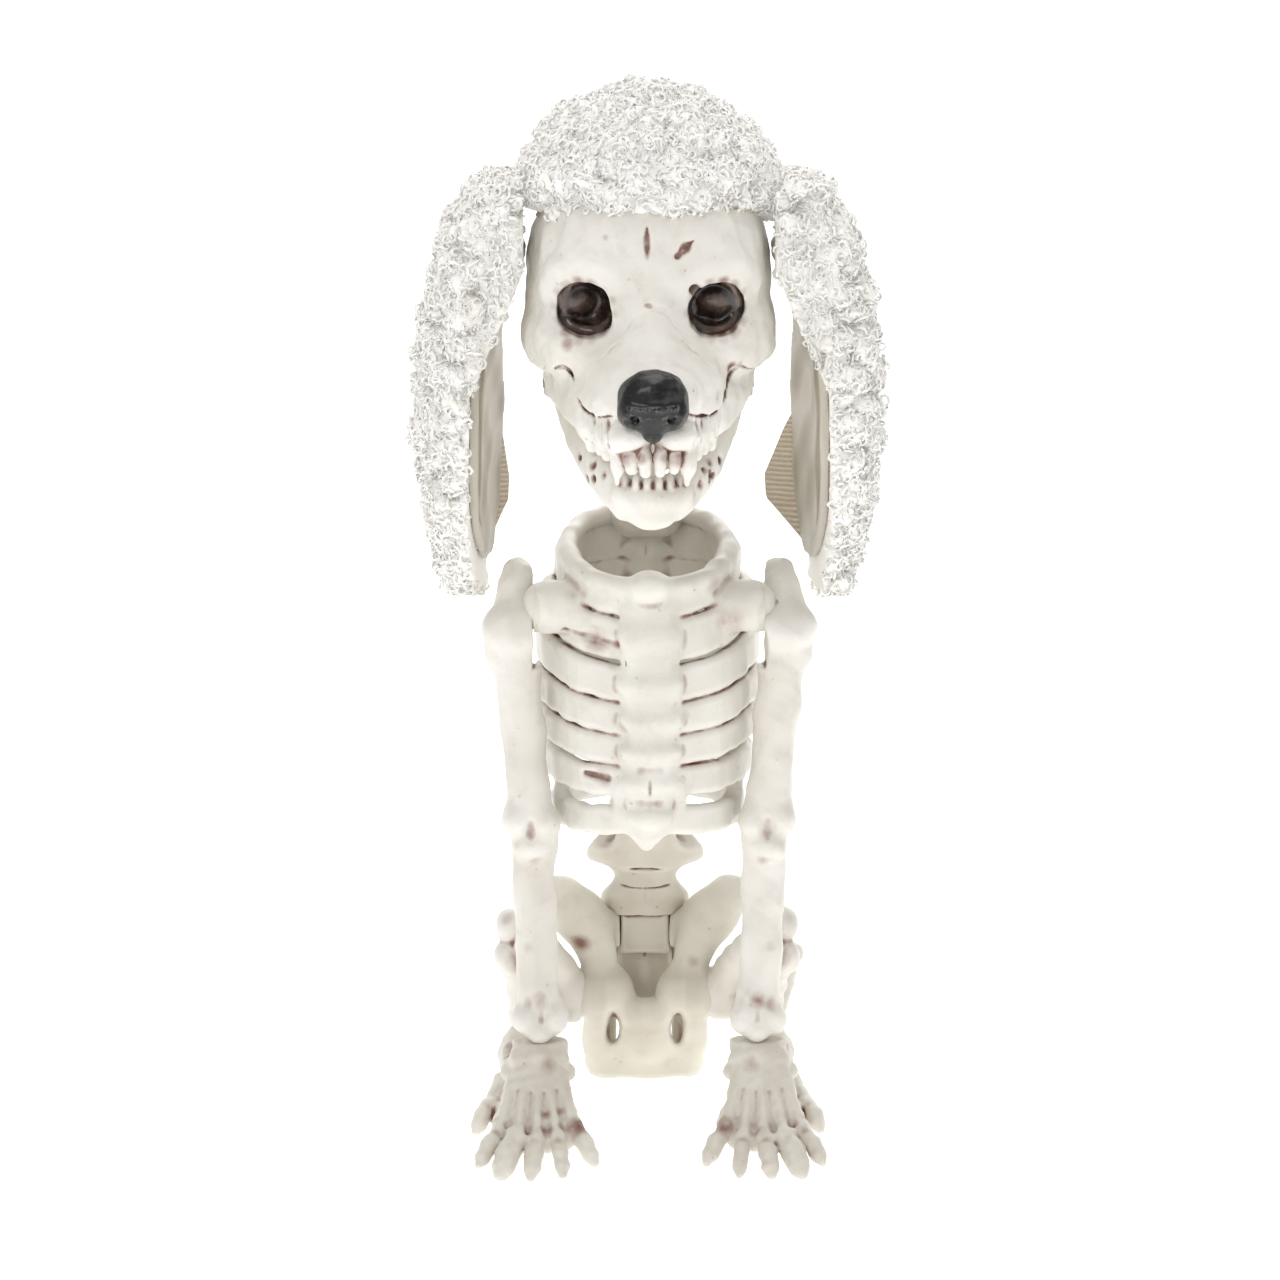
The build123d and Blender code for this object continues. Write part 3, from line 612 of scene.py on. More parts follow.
# each bone plastic: its base tone, its wash tone and strength, its roughness and its shaded tone
WASH = "#8a6256"
BONE_PLASTICS = {
    "skull_plastic": ("#e9e6df", WASH, 1.0, 0.4, "#dfdad0"),
    "jaw_plastic": ("#e8e5dd", WASH, 1.05, 0.4, "#dcd6cb"),
    "ribcage_plastic": ("#e6e3db", WASH, 0.8, 0.42, "#dbd6cc"),
    "spine_plastic": ("#ded9cd", WASH, 0.9, 0.45, "#cfc8ba"),
    "pelvis_plastic": ("#dedacd", WASH, 0.9, 0.45, "#cfc9bb"),
    "leg_plastic": ("#e4e0d8", WASH, 0.9, 0.42, "#d8d2c8"),
    "paw_plastic": ("#ddd8cd", WASH, 1.15, 0.42, "#d0c9bd"),
    "ear_shell_plastic": ("#a79f8d", "#7d6a5c", 0.8, 0.5, "#989080"),
}
finishes = {
    **{name: bone_plastic(name, *look) for name, look in BONE_PLASTICS.items()},
    "socket_brown": socket_paint(),
    "nose_black": glossy_black(),
    "crown_fur": fleece("crown_fur", "#fcfbf8", "#f6f4ef"),
    "ear_fur": fleece("ear_fur", "#fbfaf7", "#f5f3ed"),
    "disc_plastic": plain_plastic("disc_plastic", "#dcd8cc", 0.45),
    "pin_steel": drawn_steel("pin_steel", "#b9b7b2"),
    "screw_steel": drawn_steel("screw_steel", "#a9a7a2"),
    "knit": rib_knit(),
}


# ------------------------------------------------------------------ ribcage and spine
def ribcage():
    """Broad flat ribs on a knobbly breastbone, open at the neck, with a spine down the back."""
    clay = Clay(("ribcage_left", "ribcage_right"), (-42, -46, 94), (42, 44, 214), 0.65)
    ribs = ((187.8, 27.6, 5.5, 5.9, 2.7), (174.6, 31.8, 6, 7.2, 2.7), (160, 33.8, 6.4, 6.2, 2.8),
            (148.4, 34.3, 5.4, 5.4, 2.8), (138, 33.3, 3.4, 5.2, 2.8), (127.5, 31.8, 0.4, 5.3, 2.7),
            (114.8, 29.4, -3.4, 5.0, 2.6))
    for z, width, rise, half, thick in ribs:
        for side in BOTH:
            path = [(0, -34.8, z), (0.36 * width * side, -32.8, z + 0.12 * rise),
                    (0.72 * width * side, -25.4, z + 0.5 * rise),
                    (width * side, -3, z + rise), (0.94 * width * side, 13, z + 1.05 * rise),
                    (0.72 * width * side, 26, z + 1.1 * rise), (4 * side, 35, z + 1.15 * rise)]
            clay.band(path, half, thick, melt=1.0, corner=2.4)
    # recessed wall between the ribs round the back
    for z, width, rise in ((181, 29.4, 5.7), (167, 32, 6.2), (154, 33.4, 5.8), (143, 33, 4.4), (132.6, 31.8, 2.2)):
        for side in BOTH:
            clay.band([(0.95 * width * side, 9, z + rise), (0.7 * width * side, 25, z + 1.05 * rise),
                       (4 * side, 34, z + 1.1 * rise)], 5, 0.9, melt=0.8, corner=0.4)
    # rolled lip round the neck opening
    clay.rod([(0, -33.4, 192), (12, -31.4, 192.6), (21, -23.5, 194.6), (25.4, -9, 197.6), (25.6, 6, 200.4),
              (21, 20, 202.6),
              (12, 29, 203.8), (0, 32.5, 204.4), (-12, 29, 203.8), (-21, 20, 202.6), (-25.6, 6, 200.4),
              (-25.4, -9, 197.6),
              (-21, -23.5, 194.6), (-12, -31.4, 192.6), (0, -33.4, 192)], [3.0] * 15, melt=3)
    # breastbone: a flat bar, swollen where each pair of ribs meets it
    clay.rod([(0, -35.5, 192), (0, -36.5, 175), (0, -37, 150), (0, -36.5, 128), (-0.5, -35.5, 112), (-1, -34, 106)],
             [6.2, 7.6, 7.2, 7.0, 4.6, 2.2], melt=2.5, squash=(1.25, 0.62, 1))
    for z, wide, tall in ((193, 6.6, 5), (176, 9.8, 6), (160.5, 10.4, 5), (148.5, 9.6, 4.4), (138, 9.8, 4.2),
                          (127.5, 9.4, 4.4), (116, 7.6, 4.6)):
        clay.knob((0, -37.5, z), (wide, 4.6, tall), melt=2.2)
    for z in (184.5, 168, 154.2, 143.2, 132.8, 121.6):
        for side in BOTH:
            clay.knob((10.4 * side, -41, z), (3.2, 3.0, 2.2), melt=2.0, carve=True)
    # bosses that carry the shoulder discs
    for side in BOTH:
        clay.rod([(27 * side, -21.5, 183.5), (33.6 * side, -21.8, 183.2)], [8.4, 8.6], melt=3)
    # spine inside the back, in two moulded halves
    clay.rod([(0, 34, 199), (0, 35.5, 175), (0, 36.5, 140), (0, 37.5, 103)], [7.4, 7.6, 7.4, 8.2], melt=2.0,
             squash=(1.15, 0.8, 1))
    for i in range(8):
        z = 196 - 12.2 * i
        clay.knob((0, 38.5, z), (3.4, 5.6, 3.6), melt=1.6)
        clay.knob((0, 31.5, z - 5), (8.6, 3.4, 3.6), melt=1.6)
    # struts from the last pair of ribs up to the pair above, each side of the tip
    for side in BOTH:
        clay.rod([(27.5 * side, -12, 128), (28.5 * side, -11, 120), (27 * side, -14, 112)], [2.4, 2.0, 2.6],
                 melt=1.6, squash=(1.4, 0.8, 1))
        clay.rod([(9 * side, -34.5, 126), (9.5 * side, -34, 120), (7 * side, -34, 114)], [3.0, 2.4, 3.0], melt=1.6)
    # a slot worn through the second pair, and a smaller one low down, on one side
    clay.rod([(-27.5, -27, 176.2), (-19, -33, 175.4), (-11.5, -37, 173.8)], [1.0, 1.9, 1.6], melt=0.8, carve=True)
    clay.rod([(-21, -31, 129.6), (-14, -35, 128.6)], [1.2, 1.7], melt=0.8, carve=True)
    clay.rod([(0, -42.6, 196), (0, -42.4, 176), (0, -42.3, 140), (0, -39.6, 108)], [0.5] * 4, melt=0.5, carve=True)
    clay.rod([(0, 28.0, 198), (0, 28.8, 160), (0, 29.6, 108)], [0.5] * 3, melt=0.5, carve=True)
    clay.roughen(9, 0.22, 3)
    clay.dab(((-19, -35, 174), 6, 0.9), ((-13, -38, 168), 4, 0.7), ((-24, -30, 190), 5, 0.4), ((26, -28, 180), 6, 0.55),
             ((-16, -36, 129), 4, 0.9), ((12, -38, 150), 3, 0.5), ((-10, -39, 146), 3, 0.6), ((22, -30, 192), 5, 0.35))
    clay.skin("ribs_and_spine")


def lumbar():
    """The small of the back: two skirted vertebrae, waisted between, over a hinge tongue."""
    clay = Clay(("lumbar_left", "lumbar_right"), (-24, 24, 42), (24, 70, 112), 0.5)
    clay.spool([(106, 37.5, 11, 8), (96, 38.5, 14.5, 8.5), (89, 40, 16.8, 8.2), (85.5, 41, 19.6, 7.4),
                (81, 42, 19.8, 6.8),
                (78.5, 43.5, 12.6, 6.6), (74.6, 46, 10.2, 6.8), (71.5, 48, 11.2, 7.2), (67, 50.5, 15, 7.4),
                (62.5, 53.2, 15.4, 7.2), (59.4, 54.5, 15.0, 6.8)], melt=1.0)
    clay.slab((0, 57, 54), (8.1, 7.0, 8.6), corner=1.2, melt=0.6)
    clay.rod([(-8, 60, 53), (8, 60, 53)], [7.2, 7.2], melt=0.6)
    for side in BOTH:
        clay.knob((14.5 * side, 36.5, 94), (5.5, 4, 6.5), melt=3, carve=True)
    for z, y, half in ((78.6, 37.2, 8.5), (70.8, 41.2, 8.5)):
        clay.rod([(-half, y + 2, z + 0.6), (0, y, z), (half, y + 2, z + 0.6)], [0.35] * 3, melt=0.6, carve=True)
    clay.rod([(0, 29.6, 98), (0, 31.4, 88), (0, 34.8, 80), (0, 39, 74), (0, 45.6, 62)], [0.45] * 5, melt=0.5,
             carve=True)
    clay.roughen(9, 0.14, 5)
    clay.stain_and_shade((-14, 37, 86), 4, 0.2)
    clay.skin("small_of_back")


# ------------------------------------------------------------------ pelvis and tail
def pelvis():
    """Broad hip wings running down into an arch, over the sloping plate that the figure sits on."""
    clay = Clay("pelvis", (-38, 28, -1), (38, 80, 84), 0.6)
    # plate: slopes back and down from the arch, with a low keel
    clay.slab((0, 50.5, 15.5), (18.6, 3.4, 19.5), corner=3, melt=3, lean=37.4)
    clay.rod([(0, 42, 22), (0, 48, 15), (0, 57, 6)], [4.6, 5.2, 5.0], melt=5, squash=(1.6, 0.9, 1))
    clay.slab((0, 63, 3.8), (17.6, 11, 3.8), corner=2.6, melt=3)
    for side in BOTH:
        # a strap of bone from the arch up to the wing
        clay.rod([(0, 39, 27.5), (6.7 * side, 39, 28.5), (12 * side, 40.5, 34), (15.4 * side, 42, 44),
                  (18.6 * side, 43, 54), (23 * side, 42.5, 62)], [4.4, 4.8, 5.6, 6.2, 7.4, 8.6], melt=3,
                 squash=(1, 0.74, 1))
        clay.rod([(21 * side, 43, 59), (27.5 * side, 41.5, 67.5), (31 * side, 41, 71)], [8.6, 7.4, 4.4], melt=3,
                 squash=(1, 0.62, 1))
        clay.rod([(12 * side, 50, 55), (14 * side, 47, 58), (20 * side, 44.5, 62)], [4.0, 4.6, 5], melt=3)
        clay.rod([(13.4 * side, 50, 52), (13.4 * side, 60, 44), (13.6 * side, 66, 24), (14.4 * side, 66, 6)],
                 [4.2, 4.2, 4.2, 4.6], melt=3)
        clay.rod([(13 * side, 41, 34), (17.4 * side, 41, 34)], [9.4, 8.6], melt=3)
        clay.rod([(15 * side, 43, 28), (17 * side, 50, 16), (15.6 * side, 60, 5)], [5.4, 4.4, 4.4], melt=4)
        # knuckle beside the hinge tongue
        clay.slab((11.9 * side, 55, 53.6), (3.4, 7.5, 5.4), corner=0.8, melt=1)
    for side in BOTH:
        clay.rod([(10.8 * side, 34, 25), (11.2 * side, 62, 13.5)], [2.1, 2.3], melt=2.2, squash=(1, 1, 2.0), carve=True)
    # room for the waist hinge and the sacrum
    clay.slab((0, 58, 60), (8.5, 14, 12), corner=0.6, melt=0.5, carve=True)
    clay.cut((0, 0, -1), 0.05)
    clay.roughen(11, 0.16, 7)
    clay.dab(((-22.6, 36, 52), 4.6, 0.95), ((12, 40, 42), 4, 0.25), ((-9, 38, 30), 3, 0.2), ((16, 38, 46), 3, 0.3),
             ((-28, 38, 66), 4, 0.2))
    clay.skin("pelvis_bone")


def sacrum():
    """The plate below the waist hinge, with knuckles either side and an arc seam."""
    clay = Clay(("sacrum_left", "sacrum_right"), (-18, 44, 14), (18, 74, 66), 0.5)
    clay.slab((0, 62, 37), (9.6, 6.5, 15), corner=2.5, melt=1)
    clay.knob((0, 57, 34), (8, 4, 10), melt=3)
    clay.rod([(-6, 53.6, 27.5), (0, 53, 25.8), (6, 53.6, 27.5)], [0.5, 0.5, 0.5], melt=0.5, carve=True)
    clay.rod([(0, 55.4, 50), (0, 54.6, 24)], [0.45, 0.45], melt=0.5, carve=True)
    clay.roughen(8, 0.2, 8)
    clay.skin("tail_root")


def tail():
    """A short string of tail bones, swollen at each joint."""
    clay = Clay("tail", (-8, 60, 18), (8, 100, 52), 0.5)
    clay.rod([(0, 71, 27), (0, 80, 33), (0, 87, 38.5), (0, 92.5, 42.6)], [3.0, 2.4, 2.3, 1.6], melt=1)
    clay.rod([(-3.1, 69, 27), (3.1, 69, 27)], [3.5, 3.5], melt=1)
    for y, z, r in ((76, 30.4, 3.5), (82.5, 35.2, 3.2), (88.5, 39.6, 2.8), (93.5, 43, 2.3)):
        clay.knob((0, y, z), (r, r * 0.8, r), melt=1.6)
    clay.skin("tail_bone")


# ------------------------------------------------------------------ limbs
def front_leg(name, side):
    """Shoulder blade, humerus and forearm in one moulding, swollen at shoulder, elbow and wrist."""
    clay = Clay("front_leg_" + name, (24, -42, 34), (58, 4, 200), 0.6, side)
    clay.rod([(42, -10, 192), (43.5, -14, 187), (44, -18, 180)], [5.0, 6.6, 7.4], melt=3, squash=(1, 1.25, 1))
    clay.rod([(44.5, -22, 176), (43.5, -22, 164), (42, -22, 150), (40.5, -22, 132), (39, -22.5, 116)],
             [8.6, 8.0, 7.3, 7.0, 7.4], melt=2.5)
    # humerus head: a lobe outboard and one in front
    clay.knob((46.2, -23.5, 176), (8.2, 9.2, 7.8), melt=3)
    clay.knob((40.6, -25, 175.4), (5.4, 7, 7.2), melt=3)
    clay.knob((47.5, -21, 168), (6, 7, 6), melt=3)
    clay.rod([(44.5, -12, 194), (42.6, -18.5, 184.5)], [2.6, 2.2], melt=2.5)
    # elbow: two condyles with a dip between
    clay.knob((42.6, -23.5, 112), (5.6, 7.4, 6.8), melt=2.5)
    clay.knob((34.6, -23.5, 111), (5.4, 7.0, 6.4), melt=2.5)
    clay.knob((38.6, -26, 103.6), (6.4, 5.6, 5.0), melt=2.5)
    clay.knob((38, -14, 108), (5, 4.5, 8), melt=3)
    clay.knob((38.8, -31.6, 110), (1.8, 2.0, 4.0), melt=2.0, carve=True)
    # forearm: two bones lying together, with a groove between them
    clay.rod([(39.8, -23, 104), (39.4, -24, 80), (38.6, -24.5, 62), (37.6, -25, 46)], [5.4, 5.0, 5.0, 5.4], melt=2)
    clay.rod([(35.4, -22.5, 104), (35.0, -23, 80), (34.4, -23.5, 62), (33.6, -24.5, 46)], [5.0, 4.4, 4.4, 5.2],
             melt=2)
    # wrist condyles
    clay.knob((31.6, -26.5, 44.5), (5.0, 6.0, 5.4), melt=2)
    clay.knob((40.4, -26.5, 44.5), (5.4, 6.0, 5.4), melt=2)
    clay.knob((36, -28.5, 41), (3.8, 4.4, 4.0), melt=2)
    clay.knob((35.8, -33.5, 47), (1.3, 1.8, 3.4), melt=1.6, carve=True)
    # room for the shoulder disc
    clay.slab((30, -20, 184), (8.2, 30, 20.5), corner=0.3, melt=0.5, carve=True)
    clay.cut((0, 0, -1), -37.2)
    clay.roughen(13, 0.35, 11 + side)
    clay.roughen(5, 0.1, 12 + side)
    clay.dab(((36, -31, 52), 3.6, 0.65), ((40, -31, 51), 3.2, 0.5), ((32, -31, 55), 3, 0.4), ((37, -30, 99), 3, 0.35),
             ((45, -30, 104), 3, 0.3), ((40, -30, 70), 3, 0.22))
    clay.skin("front_leg_bone_" + name)


def paw_fan(clay, knuckles, tips, wrist, toes):
    """Fans bones from the wrist to the toes: ridges in a web to the knuckles, then plump nailed toes."""
    for i, (knuckle, tip) in enumerate(zip(knuckles, tips)):
        knuckle, tip, root = (np.array(v, float) for v in (knuckle, tip, wrist[i]))
        thick = toes[i]
        middle = root * 0.5 + knuckle * 0.5 + (0, -0.2, 0.7)
        clay.rod([root, middle, knuckle], [3.0, 2.5, 2.9], melt=2.2)
        clay.knob(knuckle + (0, -0.4, 0.6), (thick * 1.02, thick * 1.1, thick * 1.0), melt=1.6)
        bend = knuckle * 0.42 + tip * 0.58 + (0, -0.3, 1.2)
        clay.rod([knuckle, bend, tip], [thick * 0.74, thick * 0.98, thick * 0.86], melt=1.0)
        nail = tip + (tip - bend) / np.linalg.norm(tip - bend) * 2.6
        clay.rod([tip, nail], [thick * 0.84, thick * 0.5], melt=1.0)
        neck = knuckle * 0.72 + tip * 0.28
        clay.stain_and_shade(neck + (0, -1.5, 2.4), 2.2, 0.3)
        clay.stain_and_shade(knuckle * 0.8 + root * 0.2 + (2.6, -1, 1.0), 2.2, 0.3)
    web = [np.mean([np.array(wrist[i]), np.array(wrist[i + 1])], 0) for i in range(4)]
    ends = [np.mean([np.array(knuckles[i]), np.array(knuckles[i + 1])], 0) for i in range(4)]
    for a, b in zip(web, ends):
        clay.rod([a - (0, 0, 1.6), b - (0, 0, 2.2)], [3.0, 2.6], melt=1.6)


def front_paw(name, side):
    """Wrist bones over five long toes."""
    clay = Clay("front_paw_" + name, (12, -70, -1), (62, -14, 40), 0.5, side)
    clay.rod([(36, -26, 36), (36.6, -32, 29), (37, -39, 20), (37.2, -45, 13)], [7.4, 7.8, 7.4, 6.6], melt=2,
             squash=(1.25, 0.8, 0.75))
    for x, y, z, r in ((30.6, -31.5, 32, 4.2), (36.4, -33.5, 33, 4.4), (42.2, -31.5, 32, 4.4), (31, -35.5, 27, 3.6),
                       (36.8, -37.4, 27, 3.9), (42.6, -35.6, 27, 3.7), (27.6, -30.5, 27.5, 3.4),
                       (46, -30.5, 27.5, 3.3)):
        clay.knob((x, y, z), (r, r * 0.9, r * 0.9), melt=1.1)
    knuckles = ((24.8, -48.5, 12.5), (30.8, -52, 11), (37.4, -53, 11), (43.8, -52, 11), (49.2, -48.5, 12.5))
    tips = ((19.5, -56, 6.4), (29, -61.5, 4.2), (39, -62.8, 4.0), (48.4, -61.4, 4.2), (55, -57, 6.4))
    wrist = ((29.4, -36.5, 24.5), (33, -38.5, 24), (37, -39.5, 24), (41, -38.5, 24), (44.8, -36.5, 24.5))
    paw_fan(clay, knuckles, tips, wrist, (3.1, 2.8, 3.2, 4.3, 3.0))
    for i in range(4):
        a, b = np.array(knuckles[i]), np.array(knuckles[i + 1])
        w = (np.array(wrist[i]) + np.array(wrist[i + 1])) / 2
        m = (a + b) / 2
        clay.rod([w * 0.8 + m * 0.2 + (0, -1.6, 2.8), m * 0.5 + w * 0.5 + (0, -1.4, 2.8), m + (0, -0.6, 2.6)],
                 [0.3, 0.4, 0.7], melt=2.2, carve=True)
        if i < 2 and side < 0:
            clay.stain_and_shade(m * 0.55 + w * 0.45 + (0, -2, 1.4), 2.2, 0.6)
            clay.stain_and_shade(m * 0.85 + w * 0.15 + (0, -2, 1.4), 2.6, 0.7)
    clay.cut((0, 0, -1), 0.05)
    clay.cut((0, 0, 1), 37.3)
    clay.roughen(4, 0.16, 31 + side)
    clay.dab(((24, -50, 14), 4.5, 0.8), ((37, -53, 12), 3.6, 0.6), ((34, -36, 31), 4, 0.4), ((47, -50, 13), 3.5, 0.5))
    clay.skin("front_paw_bones_" + name, hollow_gain=0.8)


def hind_leg(name, side):
    """Femur, doubled knee and shin in one moulding."""
    clay = Clay("hind_leg_" + name, (18, 0, 20), (58, 56, 78), 0.6, side)
    clay.slab((26, 41, 34), (5.4, 7.8, 8.6), corner=4, melt=2)
    clay.rod([(26.4, 40.5, 36), (29.5, 35, 44), (34, 24, 54), (40, 15, 61)], [7.0, 6.2, 5.4, 6.0], melt=3)
    clay.knob((29.5, 44, 38), (5.4, 5.4, 6.6), melt=3)
    for x, y, z, r in ((38.6, 9.8, 66, 5.8), (45, 10.5, 66.4, 6.0), (39.2, 8, 56, 5.6), (45.6, 8.4, 56, 5.8)):
        clay.knob((x, y, z), (r, r * 1.05, r * 1.05), melt=1.8)
    clay.knob((42, 3.4, 61), (2.6, 2.4, 3.4), melt=1.4)
    clay.rod([(44, 12, 55), (43.2, 19, 46), (42.2, 26, 36), (41.2, 30.4, 28.5)], [5.4, 4.6, 4.4, 5.0], melt=2.5)
    clay.rod([(39.4, 13, 54), (39.6, 21, 43), (39.8, 29, 30)], [3.6, 2.8, 3.4], melt=1.2)
    clay.cut((-1, 0, 0), -20.6)
    clay.roughen(9, 0.3, 41 + side)
    clay.dab(((43, 3, 56), 5, 0.85), ((38, 5, 62), 3.5, 0.5), ((47, 6, 70), 3, 0.35), ((30, 34, 36), 3, 0.3))
    clay.skin("hind_leg_bone_" + name)


def hind_paw(name, side):
    """Long flat hind foot with its heel bone."""
    clay = Clay("hind_paw_" + name, (18, -32, -1), (64, 56, 54), 0.6, side)
    heel_x = 50 if side > 0 else 40
    clay.knob((41, 30, 20), (7, 8, 7), melt=2)
    clay.rod([(41, 32, 22), (41 * 0.5 + heel_x * 0.5, 38, 33), (heel_x, 44.6, 46.6)], [4.4, 3.6, 3.2], melt=2)
    clay.knob((heel_x, 45, 46.8), (3.9, 3.9, 3.9), melt=1.6)
    clay.rod([(41, 30, 17), (41, 14, 13), (41, 0, 9.6)], [6.4, 5.4, 4.6], melt=2, squash=(1.5, 1, 1))
    for x, y, z, r in ((36, 22, 19, 4), (45, 22, 19, 4), (40.5, 18, 19, 4), (35, 14, 16, 3.6), (46, 14, 16, 3.6)):
        clay.knob((x, y, z), (r, r, r * 0.9), melt=1.2)
    knuckles = ((29.5, -8, 8), (35.5, -11.5, 7.6), (41.8, -12, 7.6), (48, -11.5, 7.6), (53.2, -8, 8))
    tips = ((25.6, -15, 4.6), (33.2, -22, 3.8), (42, -23.4, 3.8), (49.8, -21.6, 3.8), (56.4, -14.6, 4.6))
    wrist = ((33.4, 8, 13), (37, 9, 13.6), (41, 9.5, 13.8), (45, 9, 13.6), (48.8, 8, 13))
    paw_fan(clay, knuckles, tips, wrist, (3.3, 3.0, 3.0, 3.2, 3.2))
    clay.cut((0, 0, -1), 0.05)
    clay.roughen(5, 0.16, 61 + side)
    clay.dab(((38, 24, 24), 4, 0.5), ((46, 20, 22), 4, 0.7), ((30, -6, 10), 4, 0.5))
    clay.skin("hind_paw_bones_" + name)


# ------------------------------------------------------------------ neck, skull, jaw
def neck():
    """A neck bone that swells under the skull, with a knuckle at the ribs."""
    clay = Clay("neck", (-16, 0, 190), (16, 46, 262), 0.5)
    clay.rod([(-4.8, 28, 203), (4.8, 28, 203)], [7.2, 7.2], melt=1)
    clay.rod([(0, 28, 204), (0, 26.5, 212), (0, 20, 225), (0, 14.5, 234), (0, 12, 238.4)], [5.4, 5.0, 6.2, 7.6, 9.2],
             melt=2, squash=(1, 1, 1))
    for y, z in ((29.5, 213), (25, 223), (19, 233)):
        clay.rod([(-9.4, y - 3, z - 1), (0, y, z), (9.4, y - 3, z - 1)], [2.2, 3.4, 2.2], melt=2)
    clay.rod([(0, 12, 238), (0, 12, 254)], [4.4, 4.4], melt=0.5)
    clay.knob((0, 12, 255.6), (6.8, 6.8, 2), melt=0.5)
    clay.roughen(8, 0.15, 9)
    clay.skin("neck_bone")


